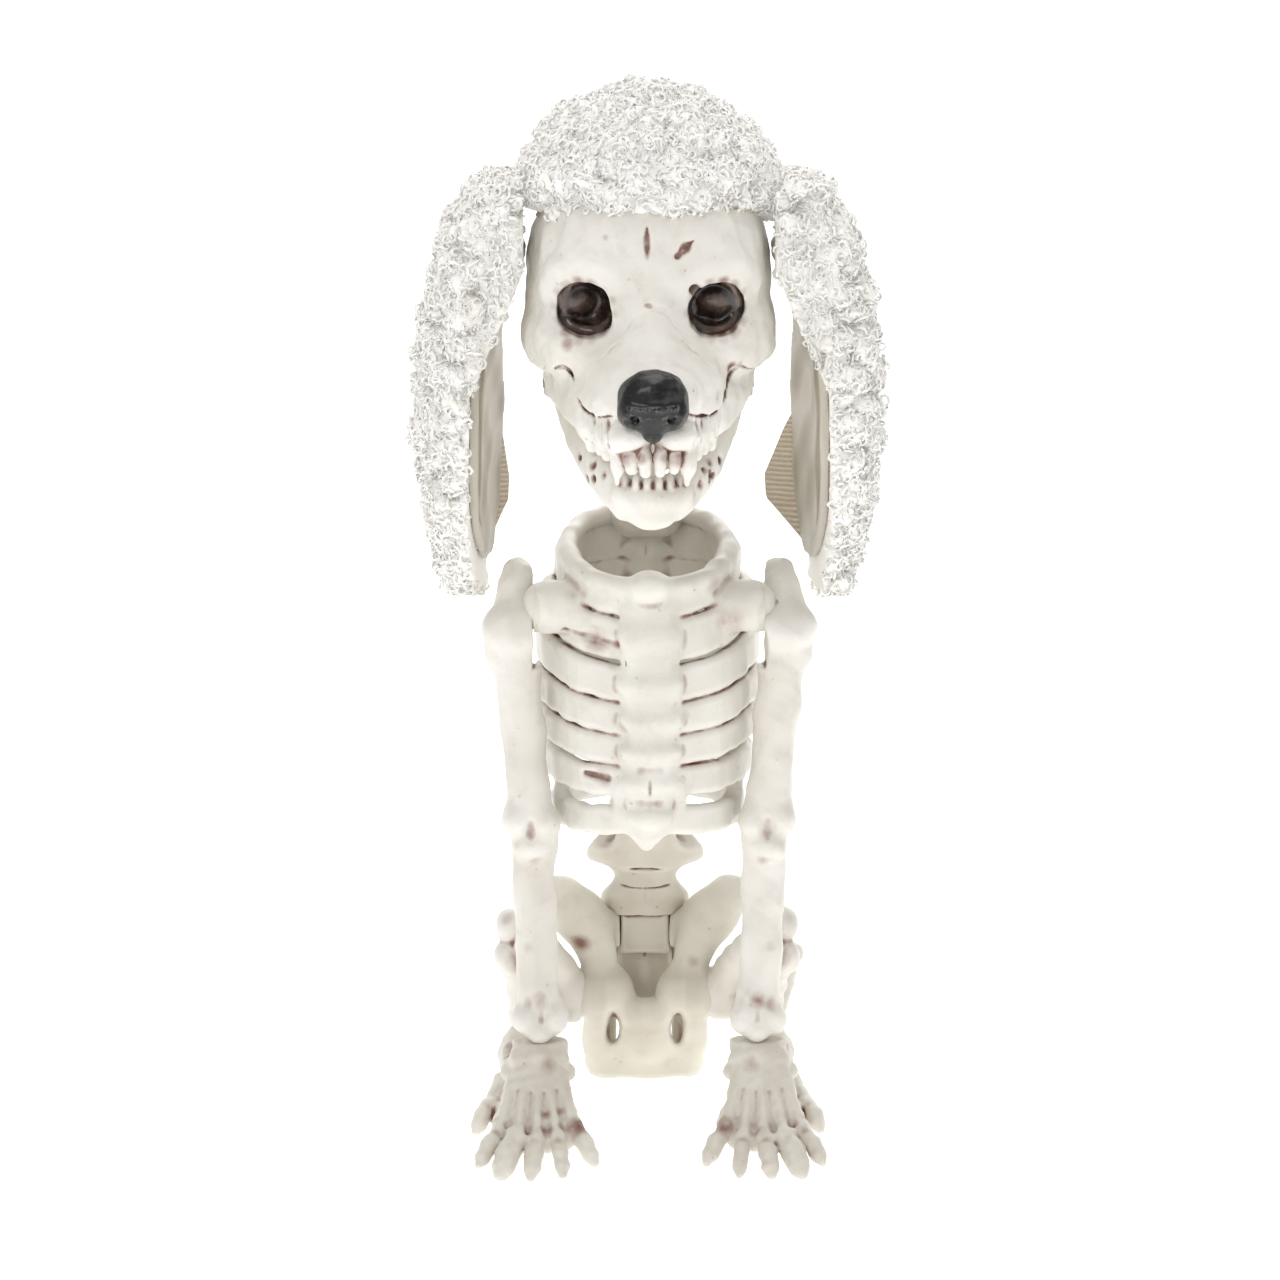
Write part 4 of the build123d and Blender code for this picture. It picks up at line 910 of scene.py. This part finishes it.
def skull():
    """Domed cranium over a short muzzle, with hollow sockets, stained cracks and upper teeth."""
    clay = Clay(("skull_top", "skull_base"), (-45, -102, 226), (45, 36, 342), 0.54)
    clay.knob((0, -14, 294), (39.8, 45.2, 41), melt=1)
    clay.rod([(-19, -15, 276), (19, -15, 276)], [22, 22], melt=7, squash=(0.98, 1.86, 0.62))
    for side in BOTH:
        # cheekbone, sweeping back from under the socket
        clay.rod([(16 * side, -52.5, 272), (26 * side, -46.5, 270), (33.4 * side, -34, 269.6), (36.6 * side, -18, 270),
                  (35.6 * side, 0, 271)], [4.2, 4.6, 4.4, 4.0, 3.8], melt=6)
        # brow, gently domed over the socket
        clay.rod([(9 * side, -54.5, 299), (16.5 * side, -52.6, 302), (25 * side, -47, 301), (33 * side, -37, 294)],
                 [3.0, 4.0, 3.8, 3.0], melt=6)
        clay.knob((15 * side, -44, 311), (11, 10, 8), melt=7)
        clay.knob((41.4 * side, -34, 300), (4, 12, 9), melt=6, carve=True)
        # lower side of the face, running to the muzzle
        clay.rod([(26.6 * side, -12, 259.4), (24.4 * side, -36, 258), (18 * side, -56, 256.4),
                  (10.8 * side, -72, 255.4)], [7.6, 7.6, 7.0, 6.6], melt=6)
        clay.rod([(13 * side, -46, 268), (12.6 * side, -60, 266), (8.6 * side, -76, 263.4)], [9.4, 9.0, 8.0], melt=7)
    # bosses under the back of the skull that the screws go up into
    for side in BOTH:
        clay.rod([(22 * side, 14, 260.6), (22 * side, 14, 268), (21 * side, 11, 279)], [4.3, 4.6, 7], melt=4)
    # muzzle: broad under the eyes, rounded on top, blunt behind the nose
    clay.rod([(0, -44, 278), (0, -58, 271.5), (0, -74, 266), (0, -82, 263.4)], [17, 14, 11.6, 10.6], melt=6)
    clay.knob((0, -56, 283), (7, 7.4, 9), melt=6)
    for side in BOTH:
        clay.knob((6.9 * side, -84, 252.4), (7.2, 6.2, 4.8), melt=2.4)
        # the side of the upper lip, fluted over the roots of the teeth
        clay.rod([(11 * side, -81, 250.6), (14.4 * side, -72, 251), (18.6 * side, -60, 252.4),
                  (22.4 * side, -46, 255.4)],
                 [4.2, 5.0, 5.6, 6.0], melt=4)
        for step in range(4):
            clay.groove([((14.2 + 2.3 * step) * side, 256.4), ((13.8 + 2.3 * step) * side, 246)], [0.2, 0.5], 0.5,
                        (-86, -40), 1.6)
        clay.window_hole((20.9 * side, -58, 286.9), (9.0, 8.8), 24, squareness=2.15)
        clay.knob((28.0 * side if side < 0 else 13.6 * side, -55, 294.2), (2.0, 6, 1.8), melt=1.6, carve=True)
        for turn in range(14):
            a = turn * math.pi / 7
            spot = ((20.9 + 9.3 * math.cos(a)) * side, -49, 286.9 + 9.1 * math.sin(a))
            clay.stain_and_shade(spot, (2.6, 11, 2.6), 0.62 if turn % 3 else 0.75)
        clay.stain_and_shade((26 * side if side < 0 else 14 * side, -53, 276.4), 3.2, 0.6)
    # parting line of the two shells: along the cheek, down, and forward to the nose
    for side in BOTH:
        clay.groove([(39.6 * side, 263.8), (34 * side, 264.8), (28.4 * side, 268.2), (25 * side, 266),
                     (23.2 * side, 259.6),
                     (19.6 * side, 256.4), (15 * side, 257.4), (11 * side, 259.2)],
                    [0.1, 0.1, 0.3, 0.35, 0.2, 0.1, 0.1, 0.1], 0.7)
    # cracks and creases in the forehead
    clay.groove([(-1.2, 313.6), (-1.3, 309), (-1.4, 304.4)], [0.15, 0.5, 0.1], 0.8, (-70, -30), 1.0)
    clay.groove([(13.4, 309.8), (11, 307.6), (8.4, 304.8)], [0.2, 1.2, 0.2], 0.9, (-70, -30), 1.4)
    # upper teeth
    for x, y, tip, r in ((-2.3, -87.4, 241.2, 2.3), (2.3, -87.4, 241.4, 2.3), (-6.7, -85.8, 242, 2.3),
                         (6.7, -85.8, 241.8, 2.3)):
        clay.rod([(x, y + 1.4, 250), (x, y, (250 + tip) / 2), (x * 0.99, y + 0.3, tip)], [r * 0.8, r, r * 0.78],
                 melt=0.5)
    for x, tip in ((-11.2, 237), (11.0, 236.6)):
        clay.rod([(x * 0.98, -80.6, 251), (x, -82.6, 243.6), (x, -82.2, tip)], [3.4, 2.8, 1.0], melt=0.9)
    for side in BOTH:
        for i, y in enumerate((-75, -68, -61)):
            clay.rod([((13.6 + 2.2 * i) * side, y, 250), ((13.8 + 2.4 * i) * side, y, 244.6)], [3.2, 2.2], melt=1.2)
    clay.roughen(12, 0.35, 13)
    clay.roughen(5, 0.1, 14)
    # the six dabs round the upper teeth (y about -87 to -90) are painted shade between the teeth and under the lip
    clay.dab(((-1.3, -54, 309), (1.2, 40, 5.0), 1.0), ((11, -54, 307.6), (2.0, 40, 1.8), 1.0),
             ((8.4, -54, 305), (1.3, 40, 1.2), 0.8), ((-14.6, -54, 311), (1.4, 40, 1.4), 0.4),
             ((-0.9, -61.5, 290), (1.5, 6, 0.9), 1.0), ((25.6, -53, 268.6), 2.4, 1.1), ((27.8, -50.5, 269.4), 1.8, 0.8),
             ((0, -90, 247), 3, 0.6), ((-3.8, -89, 246), 2.4, 0.9), ((3.8, -89, 246), 2.4, 0.9),
             ((-8, -87, 245.6), 3, 1.0), ((8, -87, 245.6), 3, 1.0), ((0, -88.5, 249), 4, 0.5),
             ((21, -66, 262), 3, 0.35))
    clay.skin("skull_bone")


def jaw():
    """Lower jaw: two slim branches meeting in a blunt pitted chin, with pointed teeth."""
    clay = Clay("jaw", (-34, -88, 214), (34, 6, 264), 0.5)
    for side in BOTH:
        clay.rod([(27 * side, -8, 254), (26.4 * side, -20, 249.4), (23.2 * side, -36, 243), (17 * side, -56, 236),
                  (9 * side, -70, 231)], [5.6, 4.4, 4.4, 5.0, 6.0], melt=3, squash=(0.85, 1, 1.35))
        clay.rod([(23.4 * side, -8, 255), (30.2 * side, -8, 255)], [5.4, 5.4], melt=1.5)
    clay.knob((0, -72.5, 229.4), (11, 9.5, 7.6), melt=4)
    clay.rod([(-8.4, -75, 232), (0, -79.6, 231), (8.4, -75, 232)], [3.6, 3.9, 3.6], melt=3)
    clay.knob((0, -76, 224.6), (5.8, 5, 4), melt=4)
    for x, y, tip, r in ((-1.7, -80.6, 239.2, 1.5), (2.0, -80.6, 239.6, 1.5), (-5.0, -79.2, 240.4, 1.7),
                         (5.4, -79.2, 240.0, 1.7), (-8.6, -76.4, 238.6, 1.6), (8.8, -76.4, 238.4, 1.6)):
        clay.rod([(x * 0.96, y + 0.6, 232), (x, y, 236), (x * 1.02, y + 0.5, tip)], [r * 1.1, r, r * 0.42], melt=0.5)
    rng = np.random.default_rng(4)
    for _ in range(18):
        side = rng.choice((-1, 1))
        y = rng.uniform(-74, -50)
        x = (9 + (y + 74) * 0.36 + 5.2) * side
        z = 231 + (y + 72) * 0.3 + rng.uniform(-3, 5)
        r = rng.uniform(0.5, 1.1)
        clay.knob((x, y, z), (r * 1.4, r * 1.6, r), melt=0.8, carve=True)
        clay.stain_and_shade((x, y, z), 2.2, 0.75)
    clay.roughen(7, 0.2, 15)
    # painted shade in the gaps between the lower teeth, strongest at each end where the canines' shadow falls
    for x in (-3.4, 0.1, 3.7, 7.1, -6.9, -10.2, 10.4):
        clay.stain_and_shade((x, -81.4 + abs(x) * 0.3, 236), (1.3, 5, 1.9), 0.8 if abs(x) < 10 else 1.1)
    clay.skin("jaw_bone")


def nose():
    """Heart-shaped nose with two notches for nostrils."""
    clay = Clay("nose", (-14, -102, 248), (14, -74, 278), 0.4)
    clay.knob((0, -88.4, 265.2), (11.2, 8.6, 9.2), melt=1)
    clay.rod([(0, -90, 258.6), (0, -91, 254.2)], [6.4, 2.8], melt=4, squash=(1.15, 0.9, 1))
    for side in BOTH:
        clay.knob((6.4 * side, -90.4, 260.4), (4.6, 5.6, 4.4), melt=3)
        clay.rod([(8.8 * side, -98, 257.4), (5.6 * side, -95, 259.8)], [1.5, 1.1], melt=1.6, carve=True)
    clay.rod([(0, -99, 261), (0, -98.6, 256), (0, -96, 252)], [0.4, 0.8, 0.6], melt=1.2, carve=True)
    clay.rod([(-7, -95.6, 263.6), (0, -97.4, 263.2), (7, -95.6, 263.6)], [0.5, 0.8, 0.5], melt=1.6)
    clay.roughen(5, 0.16, 16)
    clay.skin("nose_tip")


def eye_socket(name, side):
    """The painted bowl behind the opening, with a low dome in it."""
    clay = Clay("eye_socket_" + name, (8, -64, 272), (35, -28, 303), 0.4, side)
    clay.slab((20.9, -43, 287), (11.4, 13, 11.4), corner=5, melt=1)

    def proud(x, y, z):
        return 40 * (1 - np.sqrt((x / 38.6) ** 2 + ((y + 14) / 44) ** 2 + ((z - 294) / 40) ** 2))

    # the bowl's front edge stays inside the curve of the skull
    clay.press(proud, (6, -66, 270), (37, -26, 305), melt=1.5, carve=True)
    clay.knob((20.6, -52, 286.9), (9.2, 11.4, 8.8), melt=1.6, carve=True)
    dome = (23.6, 289) if side < 0 else (20.4, 288.6)
    clay.knob((dome[0], -40.5, dome[1]), (6.6, 5.6, 6.0), melt=2)
    if side > 0:
        clay.rod([(14.6, -43, 286.4), (20, -44.0, 289), (26, -41, 287.6)], [2.0, 3.2, 2.0], melt=2.4)
    clay.rod([(13.6, -47.6, 282), (17.6, -47, 279.8), (24.4, -44.6, 279.8), (28, -41.6, 282.6)], [1.2, 1.4, 1.4, 1.2],
             melt=2.2)
    clay.roughen(7, 0.16, 17 + side)
    clay.skin("socket_bowl_" + name)


# ------------------------------------------------------------------ ears and fur
def ear_surface(u, z):
    """How far out the ear's plastic blade lies: u is measured forward to back from its middle."""
    along = np.clip((303 - z) / 106, 0, 1)
    return 49.8 - 0.20 * u + 3.2 * np.sin(math.pi * along) * (1 - (u / 26) ** 2) + 3.0 * along


def ear_half_width(z):
    """Half the blade's width at a height."""
    return np.interp(z, (196, 200, 212, 235, 262, 286, 300, 306), (2, 8, 17, 22, 21, 16, 10, 5))


def ear_blade(name, side):
    """The ear's thin plastic blade, with a ridge and a rolled front edge."""
    clay = Clay("ear_shell_" + name, (36, -36, 192), (66, 24, 310), 0.5, side)

    def blade(x, y, z):
        u = y + 8
        sheet = abs(x - ear_surface(u, z)) - 0.9
        edge = (abs(u) - ear_half_width(z)) * 0.9
        return np.maximum(np.maximum(sheet, edge), np.maximum(z - 304, 197.5 - z))

    clay.press(blade, (36, -34, 194), (66, 20, 308), melt=0.8)
    spine = [(ear_surface(u, z) - 0.5, u - 8, z) for u, z in ((-6, 292), (-8, 268), (-10, 244), (-12, 222), (-13, 210))]
    clay.rod(spine, [1.0, 1.5, 1.5, 1.3, 0.8], melt=2.5)
    rim = [(ear_surface(-ear_half_width(z) + 0.6, z), -8 - ear_half_width(z) + 0.6, z)
           for z in (298, 286, 270, 250, 232, 214, 203)]
    clay.rod(rim, [1.3] * 7, melt=1.5)
    # two arms to the pin, either side of the skull's lug
    for y in (-18.3, -5.7):
        clay.slab((47, y, 300), (6.5, 2.0, 3.0), corner=0.8, melt=1)
        clay.rod([(43, y - 2.0, 300), (43, y + 2.0, 300)], [3.2, 3.2], melt=0.4)
    clay.roughen(14, 0.25, 71 + side)
    clay.skin("ear_blade_" + name)


def knit_sheet(name, body, place_at, rows, columns):
    """A thin two-sided sheet of the fur's knit backing, from a grid of places in millimetres."""
    s, t = np.meshgrid(np.linspace(0, 1, columns), np.linspace(0, 1, rows))
    p = place_at(s, t)
    du, dv = np.gradient(p, axis=1), np.gradient(p, axis=0)
    normal = np.cross(du, dv)
    normal /= np.linalg.norm(normal, axis=2, keepdims=True) + 1e-9
    front, back = p + normal * 0.35, p - normal * 0.35
    points = np.concatenate([front.reshape(-1, 3), back.reshape(-1, 3)]) * MM
    n = rows * columns
    grid = np.arange(n).reshape(rows, columns)
    a = np.stack([grid[:-1, :-1], grid[:-1, 1:], grid[1:, 1:], grid[1:, :-1]], -1).reshape(-1, 4)
    rim = np.concatenate([grid[0, :], grid[1:, -1], grid[-1, -2::-1], grid[-2:0:-1, 0], grid[0, :1]])
    wall = np.stack([rim[1:], rim[:-1], rim[:-1] + n, rim[1:] + n], 1)
    obj = mesh_object(name, points, np.concatenate([a, a[:, ::-1] + n, wall]))
    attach(obj, body)
    obj.data.materials.append(finishes["knit"])


def curls(name, roots, normals, node, body, seed):
    """Thousands of small corkscrew tufts standing in the pile, one mesh."""
    # a loop's least and greatest radius and its thread's radius, in millimetres, and how often it goes round
    size, thread, turns = (1.2, 2.3), 0.62, 1.05
    sides, rings = 3, 9  # corners round the thread and rings along it
    rng = np.random.default_rng(seed)
    n = len(roots)
    normals = normals / np.linalg.norm(normals, axis=1, keepdims=True)
    tilt = normals + rng.normal(scale=0.55, size=(n, 3))
    tilt /= np.linalg.norm(tilt, axis=1, keepdims=True)
    a = np.cross(tilt, rng.normal(size=(n, 3)))
    a /= np.linalg.norm(a, axis=1, keepdims=True)
    b = np.cross(tilt, a)
    radius = rng.uniform(*size, n)[:, None]
    rise = radius * rng.uniform(0.5, 1.3, (n, 1))
    t = np.linspace(0, 1, rings)
    angle = t[None, :] * 2 * np.pi * turns * rng.uniform(0.75, 1.25, (n, 1)) + rng.uniform(0, 6.3, (n, 1))
    swell = np.sin(np.clip(t * 1.1 + 0.12, 0, 1) * np.pi) ** 0.5
    loop = a[:, None, :] * np.cos(angle)[..., None] + b[:, None, :] * np.sin(angle)[..., None]
    path = (roots[:, None, :] + loop * (radius * swell[None, :])[..., None]
            + tilt[:, None, :] * (rise * (t - 0.35)[None, :])[..., None])
    tangent = np.gradient(path, axis=1)
    tangent /= np.linalg.norm(tangent, axis=2, keepdims=True) + 1e-9
    u = np.cross(tangent, tilt[:, None, :])
    u /= np.linalg.norm(u, axis=2, keepdims=True) + 1e-9
    v = np.cross(tangent, u)
    girth = thread * rng.uniform(0.75, 1.3, (n, 1)) * (0.25 + 0.75 * np.sin(np.pi * (0.08 + 0.84 * t))[None, :])
    corner = 2 * np.pi * np.arange(sides) / sides
    ring = (u[:, :, None, :] * np.cos(corner)[None, None, :, None]
            + v[:, :, None, :] * np.sin(corner)[None, None, :, None])
    points = path[:, :, None, :] + ring * girth[:, :, None, None]
    index = np.arange(n * rings * sides).reshape(n, rings, sides)
    nxt = np.roll(index, -1, axis=2)
    faces = np.stack([index[:, :-1], nxt[:, :-1], nxt[:, 1:], index[:, 1:]], -1).reshape(-1, 4)
    obj = mesh_object(name, points.reshape(-1, 3) * MM, faces)
    # painted shade: each curl darker towards its root, held in the 'wash' layer
    shade = obj.data.attributes.new("wash", "FLOAT", "POINT")
    low = np.broadcast_to((1 - t)[None, :, None] ** 2 * 0.4, (n, rings, sides))
    shade.data.foreach_set("value", low.astype(np.float32).ravel())
    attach(obj, body)
    obj.data.materials.append(finishes[slot_of[node]])
    return obj


def scatter(obj, spacing, seed, keep):
    """Places about spacing millimetres apart over a skin, with its normals there."""
    rng = np.random.default_rng(seed)
    mesh = obj.data
    count = len(mesh.polygons)
    centre, normal, area = np.empty(count * 3), np.empty(count * 3), np.empty(count)
    mesh.polygons.foreach_get("center", centre)
    mesh.polygons.foreach_get("normal", normal)
    mesh.polygons.foreach_get("area", area)
    centre, normal = centre.reshape(-1, 3) / MM, normal.reshape(-1, 3)
    allowed = keep(centre, normal)
    order = np.flatnonzero(allowed & (rng.random(count) < area / MM ** 2 / spacing ** 2 * 3.2))
    rng.shuffle(order)
    taken, chosen = {}, []
    for i in order:
        key = tuple(np.floor(centre[i] / spacing).astype(int))
        near = any(np.linalg.norm(centre[i] - centre[j]) < spacing * 0.8
                   for dx in (-1, 0, 1) for dy in (-1, 0, 1) for dz in (-1, 0, 1)
                   for j in taken.get((key[0] + dx, key[1] + dy, key[2] + dz), ()))
        if not near:
            taken.setdefault(key, []).append(i)
            chosen.append(i)
    return centre[chosen], normal[chosen]


def lumps(clay, outline, count, seed, size):
    """Raises rounded tufts over the clay; outline gives a random place on its skin."""
    rng = np.random.default_rng(seed)
    for _ in range(count):
        c = outline(rng)
        r = rng.uniform(*size)
        clay.knob(c, (r, r * rng.uniform(0.8, 1.1), r * rng.uniform(0.75, 1.05)), melt=1.4)


def crown():
    """The fleece cap: knit backing, thick lumpy pile, and tight curls standing out of it."""
    clay = Clay("fur_cap", (-52, -66, 294), (54, 52, 366), 0.7)
    clay.knob((0, -7, 322), (37, 43, 28), melt=1)

    def on_cap(rng):
        d = rng.normal(size=3)
        d /= np.linalg.norm(d)
        d[2] = abs(d[2]) if rng.random() < 0.75 else d[2] * 0.6
        return np.array((0, -7, 321)) + d * (37.5, 43.5, 28) + rng.normal(scale=0.9, size=3)

    # the pile runs down to meet the ears, further on the dog's left
    clay.rod([(30, -20, 330), (37, -19, 321), (40, -16, 315)], [8, 7, 5.4], melt=6)
    clay.rod([(-32, -20, 328), (-37, -20, 320)], [7, 5.6], melt=6)
    lumps(clay, on_cap, 560, 80, (2.6, 4.6))
    # the hem sweeps over the forehead, a little higher in the middle, and opens over the skull
    def hollow(x, y, z):
        k = np.sqrt((x / 38.4) ** 2 + ((y + 14) / 44.6) ** 2 + ((z - 294) / 40.2) ** 2)
        return (k - 1) * 38

    clay.press(hollow, (-40, -60, 250), (40, 32, 336), melt=1.0, carve=True)

    def below_hem(x, y, z):
        front = np.clip((-y - 20) / 36, 0, 1)
        hem = (303 + 13.5 * front + 4.5 * front * np.exp(-((x + 3) / 9) ** 2)
               - 3 * front * np.exp(-((x - 20) / 14) ** 2))
        return z - hem - 1.6 * np.sin(x * 0.55) * np.sin(y * 0.5 + 1)

    clay.press(below_hem, (-56, -70, 290), (56, 56, 330), melt=2.5, carve=True)
    # the pile's hollows get painted shade in the 'wash' layer
    pile = clay.skin("crown_pile", hollow_gain=0.9)
    roots, normals = scatter(pile, 2.15, 81, lambda c, n: (c[:, 2] > 300) & (n[:, 2] > -0.75))
    tufts = curls("crown_curls", roots, normals, "fur_cap", "head", 82)

    def backing(s, t):
        turn = -0.5 * math.pi + 2 * math.pi * s * 0.9985
        low_edge = 0.42 + 0.25 * np.clip(-np.sin(turn), 0, 1)
        lift = low_edge + (1.5 - low_edge) * t
        return np.stack([39.8 * np.cos(lift) * np.cos(turn), -14 + 46 * np.cos(lift) * np.sin(turn),
                         294 + 41.5 * np.sin(lift)], -1)

    knit_sheet("crown_knit", "head", backing, 30, 96)


def ear_fleece(name, side):
    """Fleece over one ear: knit backing glued to the blade, lumpy pile and curls."""
    clay = Clay("ear_fur_" + name, (36, -50, 180), (88, 32, 330), 0.7, side)
    spots = ((192, 57.5, 6, 10), (204, 58.5, 8.5, 17), (222, 60, 11.5, 24), (245, 60.5, 12.5, 28),
             (268, 59.5, 12.5, 27),
             (290, 56.5, 12, 24), (306, 52.5, 11, 20), (317, 48.5, 7.5, 14))
    zs, xs, rxs, rys = (np.array(v, float) for v in zip(*spots))
    clay.rod([(x, -8, z) for z, x in zip(zs, xs)], rxs * 0.86, melt=2, squash=(1, 1.0, 1))
    for f in (-0.55, 0.55):
        clay.rod([(x, -8 + f * ry, z) for z, x, ry in zip(zs, xs, rys)], rxs * 0.72, melt=7)
    clay.rod([(50, -28, 262), (47.5, -28, 282), (45, -27, 300), (45.5, -18, 316)], [5.6, 7.2, 8, 7.4], melt=5)
    clay.rod([(45.5, -16, 318), (47, 4, 316)], [7.4, 6.4], melt=5)

    def on_ear(rng):
        if rng.random() < 0.16:
            z = rng.uniform(266, 320)
            d = rng.normal(size=3)
            return np.array((46 + 0.1 * (300 - z), -25, z)) + d / np.linalg.norm(d) * 7.0
        z = rng.uniform(188, 320)
        a = rng.uniform(-0.62 * np.pi, 0.62 * np.pi)
        x, rx, ry = np.interp(z, zs, xs), np.interp(z, zs, rxs), np.interp(z, zs, rys)
        return np.array((x + rx * math.cos(a), -8 + ry * math.sin(a), z)) + rng.normal(scale=0.8, size=3)

    lumps(clay, on_ear, 520, 90 + side, (2.6, 4.4))

    def inside(x, y, z):
        blade = ear_surface(y + 8, z) + 1.6
        # at the top the fleece folds over the blade's front edge, close to the head
        fold = np.clip((z - 256) / 40, 0, 1) * np.clip((-18 - y) / 5, 0, 1)
        fold = np.maximum(fold, np.clip((z - 303) / 5, 0, 1))
        return (x - (blade * (1 - fold) + 40.6 * fold)) * 0.9

    clay.press(inside, (30, -56, 176), (90, 40, 336), melt=1.0, carve=True)
    # the pile's hollows get painted shade in the 'wash' layer
    pile = clay.skin("ear_pile_" + name, hollow_gain=0.9)
    sign = 1 if side > 0 else -1
    roots, normals = scatter(pile, 2.1, 95 + side, lambda c, n: (n[:, 0] * sign > -0.55))
    tufts = curls("ear_curls_" + name, roots, normals, "ear_fur_" + name, "ear_" + name, 96 + side)

    flap = 13.0 if side > 0 else 6.0

    def backing(s, t):
        z = 300 - 100 * t
        half = ear_half_width(z) - 0.5
        spare = flap * np.clip((t - 0.55) * 4, 0, 1) * np.clip((1.02 - t) * 7, 0, 1)
        reach = (2 * half + spare) * s
        over = np.clip(reach - 2 * half, 0, 40)
        u = np.minimum(reach, 2 * half) - half + over * 0.35
        return np.stack([(ear_surface(np.minimum(reach, 2 * half) - half, z) + 1.7 - over * 0.94) * sign, u - 8, z], -1)

    knit_sheet("ear_knit_" + name, "ear_" + name, backing, 60, 34)


# ------------------------------------------------------------------ the figure
ribcage()
lumbar()
pelvis()
sacrum()
tail()
neck()
skull()
jaw()
nose()
for side_name, side_sign in SIDES:
    front_leg(side_name, side_sign)
    front_paw(side_name, side_sign)
    hind_leg(side_name, side_sign)
    hind_paw(side_name, side_sign)
    eye_socket(side_name, side_sign)
    ear_blade(side_name, side_sign)
    ear_fleece(side_name, side_sign)
crown()

# pins, screws and discs keep their CAD shape, and take their finish
for node_name, slot_name in slot_of.items():
    if slot_name in ("pin_steel", "screw_steel", "disc_plastic"):
        carried = frame["nodes"][node_name]
        carried.data.materials.clear()
        carried.data.materials.append(finishes[slot_name])

# ------------------------------------------------------------------ stage, light and camera
low, high = (np.array(v) for v in cad_bounds)
size = high - low
ground = low[2] - 0.0004


def sheet_of_floor():
    """A pale seamless floor that sweeps up behind the figure."""
    rows = []
    for i in range(41):
        t = i / 40
        y = -4 + 7.0 * min(t / 0.75, 1.0)
        lift = max(t - 0.55, 0) / 0.45
        rows.append([(x, y, ground + 3.6 * lift ** 2.4) for x in (-6, -2, 2, 6)])
    points = np.array(rows).reshape(-1, 3)
    grid = np.arange(len(points)).reshape(41, 4)
    faces = np.stack([grid[:-1, :-1], grid[:-1, 1:], grid[1:, 1:], grid[1:, :-1]], -1).reshape(-1, 4)
    floor = mesh_object("studio_floor", points, faces)
    material, _, shader = new_finish("floor_paper", Roughness=0.7, IOR=1.4, Specular_IOR_Level=0.1)
    shader.inputs["Base Color"].default_value = linear("#fbfbfb")
    shader.inputs["Emission Color"].default_value = linear("#ffffff")
    shader.inputs["Emission Strength"].default_value = FLOOR_GLOW
    floor.data.materials.append(material)


sheet_of_floor()


def softbox(name, place_, aim, width, height, power):
    """A large soft light."""
    light = bpy.data.lights.new(name, "AREA")
    light.shape, light.size, light.size_y, light.energy = "RECTANGLE", width, height, power
    obj = bpy.data.objects.new(name, light)
    obj.location = place_
    obj.rotation_euler = (Vector(aim) - Vector(place_)).to_track_quat("-Z", "Y").to_euler()
    bpy.context.scene.collection.objects.link(obj)


centre = Vector(((low + high) / 2).tolist())
for light_name, (offset, *shape_and_power) in LIGHTS.items():
    softbox(light_name, centre + Vector(offset), centre, *shape_and_power)

bpy.context.scene.view_settings.view_transform = "Standard"
world = bpy.data.worlds.new("studio")
world.use_nodes = True
world.node_tree.nodes["Background"].inputs[0].default_value = linear("#ffffff")
world.node_tree.nodes["Background"].inputs[1].default_value = WORLD_LIGHT
bpy.context.scene.world = world

camera_data = bpy.data.cameras.new("camera")
camera_data.lens, camera_data.sensor_width = 189.2, 36.0
camera = bpy.data.objects.new("camera", camera_data)
bpy.context.scene.collection.objects.link(camera)
azimuth, elevation, distance = math.radians(-1.0), math.radians(13.0), 2.2
target = Vector((low[0] + 0.4815 * size[0], low[1] + 0.386 * size[1], low[2] + 0.486 * size[2]))
camera.location = target + distance * Vector((math.sin(azimuth) * math.cos(elevation),
                                               -math.cos(azimuth) * math.cos(elevation), math.sin(elevation)))
camera.rotation_euler = (target - camera.location).to_track_quat("-Z", "Y").to_euler()
bpy.context.scene.camera = camera
